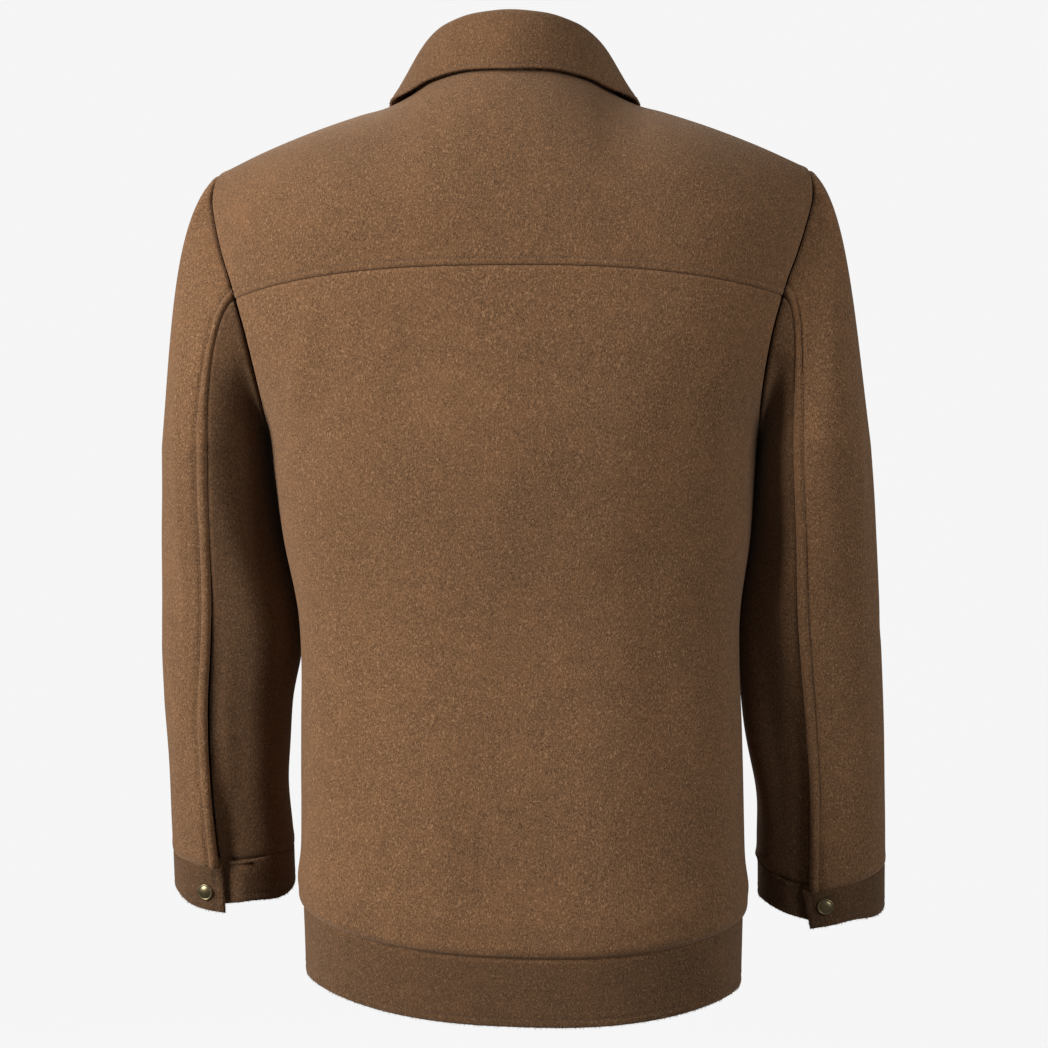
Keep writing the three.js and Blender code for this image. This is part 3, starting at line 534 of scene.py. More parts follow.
def placket_tuck(side, turn):
    """1 beside the slit at the back seam, fading to 0 further round the under sleeve."""
    away = turn - side["seam_at"](1)
    return 1 - smooth_step(CUFF_TUCK_TURN["from"], CUFF_TUCK_TURN["to"], away)


def cuff_point(side, along, down):
    """The cuff; above down = 0 its allowance runs up inside the end of the sleeve."""
    along, down = np.broadcast_arrays(along, down)
    slit, turn = side["seam_at"](1), cuff_turn(side, along)
    covered = turn < 360 - FRONT_SEAM_TURN
    under = placket_tuck(side, turn)
    inside = CUFF_ALLOWANCE["in"] * np.clip(-down / CUFF_ALLOWANCE["share"], 0, 1)
    leaning = mix(*CUFF_SLANT[side["name"]], np.clip(down, 0, 1))
    end = 360 + slit
    place = turn + leaning * smooth_step(end - CUFF_SLANT["reach"], end, turn)
    p = tube_point(place, side, 1, under * (THICK_WALL + LAYER_GAP) + inside)
    p = p - down[..., None] * np.array([0, CUFF_FORWARD, CUFF_HEIGHT])
    around = np.where(covered, place, place - 360)
    top, low = (cuff_drop(side, around, covered, edge) for edge in ("seam", "hem"))
    p[..., 2] -= mix(top, low, np.clip(down, 0, 1))
    return p


# %% [markdown]
# ## The hem band
# The band is one long strip, gathered in a little towards its lower edge, that laps over
# itself at the front. It follows the same ovals as the body, and its last part is set
# back by one thickness, as the right front is.

# %% The hem band
def band_point(along, down):
    along, down = np.broadcast_arrays(along, down)
    ends = LAP / half_at(BAND_SEAM["front"])
    run = mix(-math.pi - ends, math.pi + ends, along)
    turn = np.clip(run, -math.pi, math.pi)
    z = band_seam_z(turn) - down * BAND_HEIGHT
    face = np.where(np.cos(turn) >= 0, 1, -1)
    wide = half_at(z) * np.abs(np.sin(turn)) ** (2 / FULLNESS)
    beyond = -np.sign(run) * (np.abs(run) - math.pi) / ends * LAP
    x = np.where(np.abs(run) > math.pi, beyond, np.sign(turn) * wide)
    clear = LAP + LAP_CLEAR
    tuck = (run < -math.pi / 2) * (1 - smooth_step(clear, clear + LAP_RISE, -x))
    y = body_y(x, z, face) + (THICK_WALL + LAYER_GAP) * tuck
    return point(x, SIDE_Y + (y - SIDE_Y) * (1 - BAND_LEAN * down), z)


# %% [markdown]
# ## The collar
# The collar has two parts: a stand that rises from the neck seam, and a fall that rolls
# over it and lies on the shoulders with a shadow under its edge. The fall is a curve from
# the roll line to its lower edge, and that edge is laid just above the body's own form.

# %% The collar
ROLL = {"side": 67.5, "back": 70, "front": 72}
STAND = {"front": 25, "back": 42}
COLLAR_END = 0.955
NECK_RISE = 0.72
STAND_TUCK = {"up": 0.09, "in": 0.8, "share": 0.03}
FALL_BACK = {"side": 97, "back": 83, "power": 2 / 1.7}
FALL_DRAPE = {"side": -0.5, "back": 5}
FALL_FRONT = {"bend": (108, -60), "tip": (66, -90)}
FALL_LIFT = {"out": 3.4, "up": 4.4}
FALL_ROLL = {"clear": 1.2, "out": 11, "up": 3, "hang": 0.48}
SMALL_TURN = 0.01


def ring_point(ring, turn):
    reach = np.where(np.cos(turn) >= 0, ring["back"], ring["front"])
    return ring["side"] * np.sin(turn), SIDE_Y + reach * np.cos(turn)


def neck_point(turn):
    x, y = ring_point(NECK, turn)
    return point(x, y, body_z(x, y, np.where(np.cos(turn) >= 0, 1, -1)) + NECK_RISE)


def roll_point(turn):
    x, y = ring_point(ROLL, turn)
    height = mix(STAND["front"], STAND["back"], smooth_step(0, 1, np.cos(turn / 2) ** 2))
    return point(x, y, neck_point(turn)[..., 2] + height)


def stand_point(across, up):
    """The stand; below up = 0 it passes down inside the neck seam as its allowance."""
    turn = across * math.pi * COLLAR_END
    seam = neck_point(turn)
    inward = unit(point(-seam[..., 0], SIDE_Y - seam[..., 1], 0))
    tucked = STAND_TUCK["in"] * np.clip(-up / STAND_TUCK["share"], 0, 1)
    return mix(seam, roll_point(turn), up[..., None]) + inward * tucked[..., None]


def fall_edge_point(across):
    turn = np.abs(across) * math.pi
    t = np.clip(turn * 2 / math.pi - 1, 0, 1)
    bend, tip = FALL_FRONT["bend"], FALL_FRONT["tip"]
    weights = (1 - t) ** 2, 2 * t * (1 - t), t * t
    front_x = weights[0] * FALL_BACK["side"] + weights[1] * bend[0] + weights[2] * tip[0]
    front_y = weights[0] * SIDE_Y + weights[1] * bend[1] + weights[2] * tip[1]
    back_x = FALL_BACK["side"] * np.abs(np.sin(turn)) ** FALL_BACK["power"]
    back_y = SIDE_Y + FALL_BACK["back"] * np.maximum(0, np.cos(turn)) ** FALL_BACK["power"]
    on_front = turn > math.pi / 2
    x, y = np.where(on_front, front_x, back_x), np.where(on_front, front_y, back_y)
    z = body_z(x, y, np.where(on_front, -1, 1)) + FALL_LIFT["up"]
    away = unit(point(x, y - SIDE_Y, 0))
    edge = point(x, y, z) + away * FALL_LIFT["out"]
    edge[..., 0] *= np.where(across < 0, -1, 1)
    return edge


def fall_point(across, down):
    across, down = np.broadcast_arrays(across, down)
    turn = across * math.pi * COLLAR_END
    roll, edge = roll_point(turn), fall_edge_point(across)
    away = unit(point(roll[..., 0], roll[..., 1] - SIDE_Y, 0))
    along = unit(roll_point(turn + SMALL_TURN) - roll_point(turn - SMALL_TURN))
    up = unit(np.array([0, 0, 1.0]) - along * along[..., 2:])
    start = roll - away * WALL + up * (WALL + FALL_ROLL["clear"])
    over = start + away * FALL_ROLL["out"] + up * FALL_ROLL["up"]
    drape = mix(FALL_DRAPE["side"], FALL_DRAPE["back"], np.cos(turn) ** 2)
    hang = mix(edge, roll, FALL_ROLL["hang"]) + away * drape[..., None]
    return bezier(start, over, hang, edge, down)


rise = float(roll_point(0.0)[2] - neck_point(0.0)[2])
print("the collar's roll line stands", rise, "mm above the neck seam at the back")

# %% [markdown]
# ## From a surface to a wall of cloth
# A grid is laid on the surface with points a few millimetres apart, closer beside each
# edge, because that is where the sewing shows. The inner side is the same grid moved in
# by the cloth's thickness. A seam presses the cloth down along its edge, a turned edge
# is rounded, and a row of topstitching leaves a shallow trough with soft puffs beside it.

# %% Points along a path, closer beside its ends
STEP = 4.0
SAMPLES = 1600
RIM_STEPS = np.array([0, 0.35, 0.8, 1.4, 2.2, 3.2, 4.3, 5.4, 6.5, 7.7, 9.2, 11.2])


def even_steps(path, low, high, gap):
    t = np.linspace(low, high, SAMPLES)
    run = np.concatenate([[0], np.cumsum(np.linalg.norm(np.diff(path(t), axis=0), axis=1))])
    near = RIM_STEPS[RIM_STEPS < run[-1] / 3] + gap / 2
    count = max(2, round((run[-1] - 2 * near[-1]) / STEP))
    middle = np.linspace(near[-1], run[-1] - near[-1], count + 1)[1:-1]
    return np.interp(np.concatenate([near, middle, run[-1] - near[::-1]]), run, t)


print("rows beside an edge:", len(RIM_STEPS))


# %% [markdown]
# ## What an edge does to the cloth
# Iron and thread press a seam flat and let the cloth beside it swell. Each kind of edge is
# a short row of bells, given as height, distance from the edge and width, or a step. It
# returns how far the outer face moves, and how far the inner one does.

# %% Kinds of edge
def pressed(rows):
    def kind(d, thick):
        return sum(height * bell(d - at, wide) for height, at, wide in rows), 0 * d
    return kind


seam_edge = pressed([(-1.0, 0, 1.2), (0.25, 4.5, 2.5)])
lip_edge = pressed([(-1.7, 0, 1.5), (1.3, 7.0, 5.0)])
sleeve_end = pressed([(-1.3, 0, 1.5), (0.5, 6.5, 4.5)])
over_edge = pressed([(1.3, 4.2, 3.2), (-1.2, 0, 1.0), (-1.6, 9.0, 1.3)])
UNDER_EDGE = {"deep": 0.9, "reach": 3.0}
YOKE_EDGE = {"high": 0.25, "from": 6.0, "to": 10.0, "dip": 0.9, "wide": 0.7}
TURNED_EDGE = {"reach": 0.6, "share": 0.47}
TROUGH = {"deep": 0.42, "wide": 0.85, "puff": 0.14, "beside": 2.6, "soft": 1.6}


def under_edge(d, thick):
    return -UNDER_EDGE["deep"] * (1 - smooth_step(0.0, UNDER_EDGE["reach"], d)), 0 * d


def yoke_edge(d, thick):
    raised = YOKE_EDGE["high"] * (1 - smooth_step(YOKE_EDGE["from"], YOKE_EDGE["to"], d))
    return raised - YOKE_EDGE["dip"] * bell(d, YOKE_EDGE["wide"]), 0 * d


def turned_edge(d, thick):
    t = np.clip(d / (TURNED_EDGE["reach"] * thick), 0, 1)
    drop = TURNED_EDGE["share"] * thick * (1 - np.sqrt(np.clip(1 - (1 - t) ** 2, 0, 1)))
    return -drop, drop


def trough(d, at):
    off, soft = d - at, TROUGH["soft"]
    puffs = (TROUGH["puff"] * bell(off - TROUGH["beside"], soft)
             + TROUGH["puff"] * bell(off + TROUGH["beside"], soft))
    return -TROUGH["deep"] * bell(off, TROUGH["wide"]) + puffs


print("a row of stitches sinks", TROUGH["deep"], "mm into the nap")


# %% [markdown]
# ## One wall
# The outer grid, the inner grid and a strip round their rims make one closed wall, which
# is what a piece of thick cloth is. A Solidify modifier would give the same wall, but not
# edges that are turned in on some sides and pressed on others.

# %% Distances, normals and faces of a grid
EDGE_ORDER = ("first_row", "last_row", "first_column", "last_column")
wool_pieces = {}


def distances_to_edges(grid):
    down = np.linalg.norm(np.diff(grid, axis=0), axis=2)
    down = np.concatenate([np.zeros((1, grid.shape[1])), np.cumsum(down, axis=0)])
    over = np.linalg.norm(np.diff(grid, axis=1), axis=2)
    over = np.concatenate([np.zeros((grid.shape[0], 1)), np.cumsum(over, axis=1)], axis=1)
    return down, down[-1:] - down, over, over[:, -1:] - over


def grid_normals(grid, centre):
    normal = unit(np.cross(np.gradient(grid, axis=1), np.gradient(grid, axis=0)))
    middle = tuple(n // 2 for n in grid.shape[:2])
    facing = np.dot(normal[middle], grid[middle] - centre)
    return normal if facing > 0 else -normal


def wall_faces(rows, columns):
    """Quads of a closed wall: outer grid, inner grid, and the strip round their rims."""
    number = np.arange(rows * columns).reshape(rows, columns)
    quads = np.stack([number[:-1, :-1], number[:-1, 1:], number[1:, 1:], number[1:, :-1]], -1)
    outer = quads.reshape(-1, 4)
    inner = outer[:, ::-1] + rows * columns
    rim = np.concatenate([number[0, :-1], number[:-1, -1], number[-1, :0:-1], number[:0:-1, 0]])
    after = np.roll(rim, -1)
    strip = np.stack([after, rim, rim + rows * columns, after + rows * columns], -1)
    return np.concatenate([outer, inner, strip])


def make_mesh(name, points, faces):
    mesh = bpy.data.meshes.new(name)
    mesh.from_pydata((points * MILLIMETRE).tolist(), [], faces.tolist())
    mesh.polygons.foreach_set("use_smooth", np.ones(len(mesh.polygons), bool))
    piece = bpy.data.objects.new(name, mesh)
    bpy.context.scene.collection.objects.link(piece)
    return piece


# %% Sew one piece
def sew(node, cut, us, vs, centre, edges, thick=WALL, folds=None, gap=0.3, spine=0.5):
    """Makes a wall of cloth for a node: edges names what happens at each of its borders.
    The rows are spaced along one line down the piece, the spine, a share of its width in."""
    spine_u, middle_v = mix(*us, spine), sum(vs) / 2
    columns = even_steps(lambda t: stance(cut(t, middle_v + 0 * t)), *us, gap)
    rows = even_steps(lambda t: stance(cut(spine_u + 0 * t, t)), *vs, gap)
    u, v = np.meshgrid(columns, rows)
    base = stance(cut(u, v))
    normal = grid_normals(base, centre)
    if folds is not None:
        base = base + normal * folds(u, v, base)[..., None]
        normal = grid_normals(base, centre)
    reach = dict(zip(EDGE_ORDER, distances_to_edges(base)))
    outer, inner = np.zeros(u.shape), np.zeros(u.shape)
    for place, (kind, stitched) in edges.items():
        out, back = kind(reach[place], thick)
        outer, inner = outer + out, inner + back
        for at in stitched:
            outer = outer + trough(reach[place], at)
    top = base + normal * outer[..., None]
    under = base + normal * (inner - thick)[..., None]
    faces = wall_faces(*u.shape)
    corner = np.cross(top[0, 1] - top[0, 0], top[1, 0] - top[0, 0])
    if np.dot(corner, normal[0, 0]) < 0:
        faces = faces[:, ::-1]
    points = np.concatenate([top.reshape(-1, 3), under.reshape(-1, 3)])
    piece = make_mesh("wool_" + node, points, faces)
    wool_pieces[node] = {"piece": piece, "top": top, "normal": normal, "reach": reach,
                         "edges": edges, "base": base}
    print(f"{node}: {len(columns)} by {len(rows)} points, {2 * len(faces)} triangles")


# %% [markdown]
# ## Creases put in by hand
# Thick wool makes few, soft folds. Each one here is a line on the cloth with a width and
# a height, and it fades out at both ends. A positive height is a ridge, a negative one a
# trough. They are uneven, as in a jacket that has been worn.

# %% Lines of soft creases
CREASE_FADE = 0.8
SEAM_CALM = 0.35


def crease_relief(a, b, rows):
    total = np.zeros(np.broadcast(a, b).shape)
    for a1, b1, a2, b2, wide, height in rows:
        along = np.array([a2 - a1, b2 - b1], float)
        share = ((a - a1) * along[0] + (b - b1) * along[1]) / (along @ along)
        t = np.clip(share, 0, 1)
        off = np.hypot(a - a1 - t * along[0], b - b1 - t * along[1])
        total += height * bell(off, wide) * np.sin(math.pi * t) ** CREASE_FADE
    return total


BACK_CREASES = [
    (150, -175, 176, -300, 9, 1.6), (128, -172, 158, -330, 15, -1.5),
    (-176, -178, -152, -320, 10, 1.6), (-150, -176, -120, -300, 14, -1.3),
    (60, -160, 84, -330, 26, -1.6), (-40, -170, -66, -360, 30, -1.5),
    (0, -190, 14, -420, 34, 1.4), (160, -300, 60, -390, 24, -1.2),
    (-160, -330, -40, -420, 26, -1.2), (120, -420, 150, -560, 20, 1.2),
    (-110, -430, -150, -590, 22, -1.5), (60, -500, 40, -640, 24, 1.4),
    (-30, -520, -70, -650, 26, -1.3), (150, -600, 40, -655, 12, 0.8),
]
YOKE_CREASES = [
    (170, -60, 60, -120, 22, 1.2), (-190, -70, -80, -130, 20, -1.0),
    (120, -40, 205, -120, 16, -1.1), (-100, -40, -200, -120, 16, 1.1),
    (30, -60, -40, -130, 24, -0.8),
]
FRONT_CREASES = [
    (170, -190, 120, -300, 12, 1.6), (150, -170, 90, -330, 18, -1.8),
    (60, -300, 110, -480, 26, 1.5), (40, -430, 80, -630, 24, -1.4),
    (150, -420, 130, -600, 18, 1.3), (100, -90, 60, -200, 20, -1.2),
]


def back_folds(u, v, p):
    return crease_relief(p[..., 0], p[..., 2], BACK_CREASES)


def yoke_folds(u, v, p):
    """The folds fade out towards the shoulder seam, so both sides of it lie level."""
    return crease_relief(p[..., 0], p[..., 2], YOKE_CREASES) * smooth_step(0, SEAM_CALM, 1 - v)


def front_folds(u, v, p):
    outward = p[..., 0] * np.sign(p[..., 0].mean())
    return crease_relief(outward, p[..., 2], FRONT_CREASES) * smooth_step(0, SEAM_CALM, v)


print("creases:", len(BACK_CREASES), "in the back,", len(YOKE_CREASES), "in the yoke,",
      len(FRONT_CREASES), "in each front")


# %% [markdown]
# ## Creases of the sleeves
# The arms' bend leaves slanting folds in front of the elbow, and the tucked placket draws
# long upright ones towards the cuff. They are placed by turn round the sleeve and by
# height; the turn is made a length first, so that a crease has the same width anywhere.

# %% Creases of the sleeves
SLEEVE_ROUND = 50
SLEEVE_CREASES = {
    "left": [
        (56, -110, 58, -480, 3.4, 1.3), (130, -300, 150, -430, 13, -2.6),
        (110, -330, 120, -520, 10, 1.6), (170, -380, 140, -470, 10, -2.2),
        (76, -500, 80, -670, 12, 4.2), (108, -340, 106, -660, 17, -6.0),
        (96, -545, 100, -650, 9, -3.0),
        (30, -350, 70, -420, 12, -1.0), (20, -470, 66, -520, 14, 0.9),
        (-60, -400, 10, -440, 12, -1.6), (-80, -440, -10, -480, 12, 1.4),
        (-100, -470, -20, -520, 13, -1.4),
    ],
    "right": [
        (36, -80, 48, -440, 3.4, 1.3), (130, -310, 150, -440, 13, -2.4),
        (150, -360, 130, -520, 12, -1.8), (160, -480, 140, -600, 12, 2.0),
        (92, -500, 96, -670, 10, 2.6), (126, -330, 124, -670, 16, -5.0),
        (130, -606, 215, -612, 4, 1.6), (130, -622, 215, -628, 4, 1.4),
        (40, -360, 90, -430, 13, -1.0), (30, -500, 80, -560, 14, 0.9),
        (-60, -390, 10, -430, 12, -1.6), (-80, -430, -10, -470, 12, 1.4),
        (-100, -470, -20, -520, 13, -1.4), (196, -205, 196, -400, 15, 4.4),
    ],
}
PLACKET = {"from": -330, "full": -500}
CUFF_CALM = {"from": -0.05, "to": 0.35}


def creases_round(side, turn, p):
    rows = [(math.radians(a1) * SLEEVE_ROUND, b1, math.radians(a2) * SLEEVE_ROUND, b2, w, h)
            for a1, b1, a2, b2, w, h in SLEEVE_CREASES[side["name"]]]
    return crease_relief(np.radians(turn) * SLEEVE_ROUND, p[..., 2], rows)


def sleeve_folds(side):
    """Creases, and the under sleeve's edge tucked in behind the seam near the cuff."""
    def relief(u, v, p):
        down = np.clip(v - 1, 0, 1)
        turn = sleeve_turn(u, side, down)
        low = smooth_step(-PLACKET["from"], -PLACKET["full"], -p[..., 2])
        away = side["seam_at"](1) - side["seam_at"](down)
        tuck = (u > 2) * low * placket_tuck(side, turn + away)
        return creases_round(side, turn, p) - (THICK_WALL + LAYER_GAP) * tuck
    return relief


def cuff_folds(side):
    """The sleeve's creases run a little way into the cuff and die out."""
    def relief(u, v, p):
        turn = cuff_turn(side, u)
        around = np.where(turn < 360 - FRONT_SEAM_TURN, turn, turn - 360)
        left = 1 - smooth_step(CUFF_CALM["from"], CUFF_CALM["to"], v)
        return creases_round(side, around, p) * left
    return relief


for name, rows in SLEEVE_CREASES.items():
    print(f"{name} sleeve: {len(rows)} creases, up to {max(abs(row[5]) for row in rows)} mm")

# %% [markdown]
# ## Sewing the jacket
# Each call names the piece's four borders: how the edge is made and how far from it the
# rows of topstitching run. The yoke and the upper sleeves lap over their neighbours,
# and the collar, cuffs and band have turned edges.

# %% Body pieces
BODY_CENTRE = np.array([0, SIDE_Y, -250.0])
COLLAR_CENTRE = np.array([0, SIDE_Y, 0.0])
BAND_CENTRE = np.array([0, SIDE_Y, -680.0])
ARM_SEAM = (seam_edge, [])
SHOULDER_SPINE = 0.82


def mirrored(cut):
    return lambda u, v: cut(u, v) * np.array([-1, 1, 1])


sew("back_yoke", yoke_point, (-1, 1), (0, 1), BODY_CENTRE, {
    "first_row": (yoke_edge, [5.6]), "last_row": (seam_edge, []),
    "first_column": ARM_SEAM, "last_column": ARM_SEAM}, folds=yoke_folds, spine=SHOULDER_SPINE)
sew("back_panel", back_point, (-1, 1), (0, 2), BODY_CENTRE, {
    "first_row": (under_edge, []), "last_row": (lip_edge, []),
    "first_column": ARM_SEAM, "last_column": ARM_SEAM}, folds=back_folds)
sew("front_left", front_point, (-1, 1), (0, 2), BODY_CENTRE, {
    "first_row": (seam_edge, []), "last_row": (lip_edge, []),
    "first_column": (turned_edge, [6.0, 36.0]), "last_column": ARM_SEAM},
    folds=front_folds, spine=SHOULDER_SPINE)
sew("front_right", mirrored(tucked_front_point), (-1, 1), (0, 2), BODY_CENTRE, {
    "first_row": (seam_edge, []), "last_row": (lip_edge, []),
    "first_column": (turned_edge, [6.0]), "last_column": ARM_SEAM},
    folds=front_folds, spine=SHOULDER_SPINE)

# %% Collar and band
sew("collar_stand", stand_point, (-1, 1), (-STAND_TUCK["up"], 1), BODY_CENTRE, {
    "first_row": (turned_edge, []), "last_row": (turned_edge, []),
    "first_column": (turned_edge, []), "last_column": (turned_edge, [])})
sew("collar_fall", fall_point, (-1, 1), (0, 1), COLLAR_CENTRE, {
    "first_row": (turned_edge, []), "last_row": (turned_edge, [3.6]),
    "first_column": (turned_edge, [3.6]), "last_column": (turned_edge, [3.6])})
sew("hem_band", band_point, (0, 1), (0, 1), BAND_CENTRE, {
    "first_row": (under_edge, []), "last_row": (turned_edge, [6.4]),
    "first_column": (turned_edge, [6.0]), "last_column": (turned_edge, [6.0])}, THICK_WALL)

# %% Sleeves and cuffs
SLEEVE_CENTRE = (241.0, -9, BICEP_Z)
CUFF_CENTRE = (240.0, -66, -630)

for side in SIDES:
    hand = (lambda cut: cut) if side["sign"] > 0 else mirrored
    sleeve = hand(lambda u, v, s=side: sleeve_point(s, u, v))
    cuff = hand(lambda u, v, s=side: cuff_point(s, u, v))
    outwards = np.array([side["sign"], 1, 1])
    middle, low = outwards * SLEEVE_CENTRE, outwards * CUFF_CENTRE
    sew(f"sleeve_{side['name']}_upper", sleeve, (SEAM_ROUND, 2), (0, 2), middle, {
        "first_row": ARM_SEAM, "last_row": (sleeve_end, []),
        "first_column": (seam_edge, []), "last_column": (over_edge, [9.0])},
        folds=sleeve_folds(side), gap=0.4)
    sew(f"sleeve_{side['name']}_under", sleeve, (2, 3 + SEAM_ROUND), (0, 2), middle, {
        "first_row": ARM_SEAM, "last_row": (sleeve_end, []),
        "first_column": (under_edge, []), "last_column": (seam_edge, [])},
        folds=sleeve_folds(side), gap=0.4)
    sew(f"cuff_{side['name']}", cuff, (0, 1), (-CUFF_ALLOWANCE["up"], 1), low, {
        "first_row": (turned_edge, []), "last_row": (turned_edge, [5.5]),
        "first_column": (turned_edge, []), "last_column": (turned_edge, [7.0])}, THICK_WALL,
        folds=cuff_folds(side))
print("walls made:", len(wool_pieces))

# %% [markdown]
# ## Topstitching
# The thread is the wool's own brown and sinks into the nap, so a row reads as a dotted
# line. Each stitch is a short thread with its two ends pulled down into the cloth. All
# the stitches of a piece are one joined mesh.

# %% Stitches along an edge
STITCH = {"pitch": 3.2, "share": 0.78, "radius": 0.34, "sink": 0.05, "margin": 2, "near": 0.3}
STITCH_STATIONS = [
    {"share": 0, "size": 0.45, "rise": -0.55}, {"share": 0.22, "size": 1, "rise": 0},
    {"share": 0.78, "size": 1, "rise": 0}, {"share": 1, "size": 0.45, "rise": -0.55},
]
STITCH_SIDES = 6
STITCH_ENDS = [[3, 2, 1, 0], [5, 4, 3, 0], [18, 19, 20, 21], [18, 21, 22, 23]]
RING = np.linspace(0, 2 * math.pi, STITCH_SIDES, endpoint=False)


def offset_line(sewn, place, at):
    """The line that runs at one distance from an edge, on the cloth's face."""
    reach, lines = sewn["reach"][place], []
    for part in ("top", "normal"):
        grid = sewn[part]
        turned = (grid, reach) if "row" in place else (grid.swapaxes(0, 1), reach.T)
        if place.startswith("last"):
            turned = tuple(a[::-1] for a in turned)
        values, far = turned
        picked = [[np.interp(at, far[:, i], values[:, i, k]) for k in range(3)]
                  for i in range(values.shape[1])]
        lines.append(np.array(picked))
    return lines


def stitches_on(line, up):
    length = np.concatenate([[0], np.cumsum(np.linalg.norm(np.diff(line, axis=0), axis=1))])
    count = int((length[-1] - 2 * STITCH["margin"]) // STITCH["pitch"])
    starts = STITCH["margin"] + STITCH["pitch"] * np.arange(count)

    def read(values, where):
        return np.stack([np.interp(where, length, values[:, k]) for k in range(3)], -1)

    stations = []
    for station in STITCH_STATIONS:
        where = starts + station["share"] * STITCH["share"] * STITCH["pitch"]
        out = unit(read(up, where))
        ahead = unit(read(line, where + STITCH["near"]) - read(line, where - STITCH["near"]))
        across = np.cross(ahead, out)
        centre = read(line, where) + out * (STITCH["radius"] * station["rise"] - STITCH["sink"])
        round_ = (np.cos(RING)[None, :, None] * across[:, None]
                  + np.sin(RING)[None, :, None] * out[:, None])
        stations.append(centre[:, None] + STITCH["radius"] * station["size"] * round_)
    return np.stack(stations, axis=1).reshape(-1, 3), count


def stitch_faces(count):
    """Quads of all stitches: three rings of sides, and two quads for each six-sided end."""
    ring = np.arange(STITCH_SIDES)
    after = np.roll(ring, -1)
    one_ring = np.stack([ring, after, after + STITCH_SIDES, ring + STITCH_SIDES], -1)
    sides = [one_ring + STITCH_SIDES * k for k in range(len(STITCH_STATIONS) - 1)]
    one = np.concatenate(sides + [np.array(STITCH_ENDS)])
    points = STITCH_SIDES * len(STITCH_STATIONS)
    return (one[None] + points * np.arange(count)[:, None, None]).reshape(-1, 4)


# %% Sew every row
thread_pieces = {}
for node, sewn in wool_pieces.items():
    parts, total = [], 0
    for place, (kind, stitched) in sewn["edges"].items():
        for at in stitched:
            made, count = stitches_on(*offset_line(sewn, place, at))
            parts.append(made)
            total += count
    if parts:
        thread = make_mesh("topstitch_" + node, np.concatenate(parts), stitch_faces(total))
        thread_pieces[node] = thread
        print(f"{thread.name}: {total} stitches")

# %% [markdown]
# ## Fuzz
# A felted edge is never clean: short fibres stand out of it. Blender's hair would give
# them too, but a few thousand thin three-sided spikes are plain mesh that any tool can
# read. Each is bent once, and they are sown along the turned edges with a fixed seed.

# %% Fibres along the free edges
FIBRE = {"every": 0.3, "long": (0.8, 2.6), "thick": 0.1, "spread": 0.8, "sunk": (0.3, 2.0),
         "inset": 0.4, "knee": 0.55, "taper": 0.7, "skew": 0.01}
FIBRE_SEED = 20
FIBRE_POINTS = 7
FUZZY_EDGES = {"hem_band": ["last_row"], "collar_fall": ["last_row", "first_row"],
               "cuff_left": ["last_row", "last_column"],
               "cuff_right": ["last_row", "last_column"], "back_yoke": ["last_row"]}
draws = np.random.default_rng(FIBRE_SEED)
TRIANGLE = np.linspace(0, 2 * math.pi, 3, endpoint=False)


def fuzz_along(line, up, outward):
    """Points of the fibres that stand out of one edge."""
    length = np.concatenate([[0], np.cumsum(np.linalg.norm(np.diff(line, axis=0), axis=1))])
    where = draws.uniform(0, length[-1], int(length[-1] / FIBRE["every"]))
    root, normal, away = (np.stack([np.interp(where, length, grid[:, k]) for k in range(3)], -1)
                          for grid in (line, up, outward))
    sunk = draws.uniform(*FIBRE["sunk"], (len(where), 1))
    root = root - normal * sunk - away * FIBRE["inset"]
    ways = [unit(away + draws.normal(0, FIBRE["spread"], root.shape)) for _ in range(2)]
    long = draws.uniform(*FIBRE["long"], (len(where), 1))
    knee = root + ways[0] * long * FIBRE["knee"]
    tip = knee + ways[1] * long * (1 - FIBRE["knee"])
    side = unit(np.cross(ways[0], normal + FIBRE["skew"]))
    other = np.cross(ways[0], side)
    ring = FIBRE["thick"] * (np.cos(TRIANGLE)[None, :, None] * side[:, None]
                             + np.sin(TRIANGLE)[None, :, None] * other[:, None])
    spikes = [root[:, None] + ring, knee[:, None] + FIBRE["taper"] * ring, tip[:, None]]
    return np.concatenate(spikes, axis=1).reshape(-1, 3)


def fuzz_faces(count):
    sides = [[i, (i + 1) % 3, (i + 1) % 3 + 3, i + 3] for i in range(3)]
    tips = [[3 + i, 3 + (i + 1) % 3, 6] for i in range(3)]
    return [[number + FIBRE_POINTS * n for number in face] for n in range(count)
            for face in sides + tips + [[2, 1, 0]]]


# %% Sow the fibres
fuzz_pieces = {}
for node, places in FUZZY_EDGES.items():
    sewn, spikes = wool_pieces[node], []
    for place in places:
        at, inside = (-1, -2) if place.startswith("last") else (0, 1)
        face, normal = sewn["base"], sewn["normal"]
        if "column" in place:
            face, normal = face.swapaxes(0, 1), normal.swapaxes(0, 1)
        spikes.append(fuzz_along(face[at], normal[at], unit(face[at] - face[inside])))
    spikes = np.concatenate(spikes)
    mesh = bpy.data.meshes.new("fuzz_" + node)
    count = len(spikes) // FIBRE_POINTS
    mesh.from_pydata((spikes * MILLIMETRE).tolist(), [], fuzz_faces(count))
    fuzz_pieces[node] = bpy.data.objects.new("fuzz_" + node, mesh)
    bpy.context.scene.collection.objects.link(fuzz_pieces[node])
    print(f"fuzz_{node}: {count} fibres")

# %% [markdown]
# ## Press studs
# A press stud's cap is stamped brass: a rolled rim round a shallow dome, darkened in the
# hollow between them. It is a profile turned round its axis, which is how its die is
# made too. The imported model's stud gives the place and the axis.

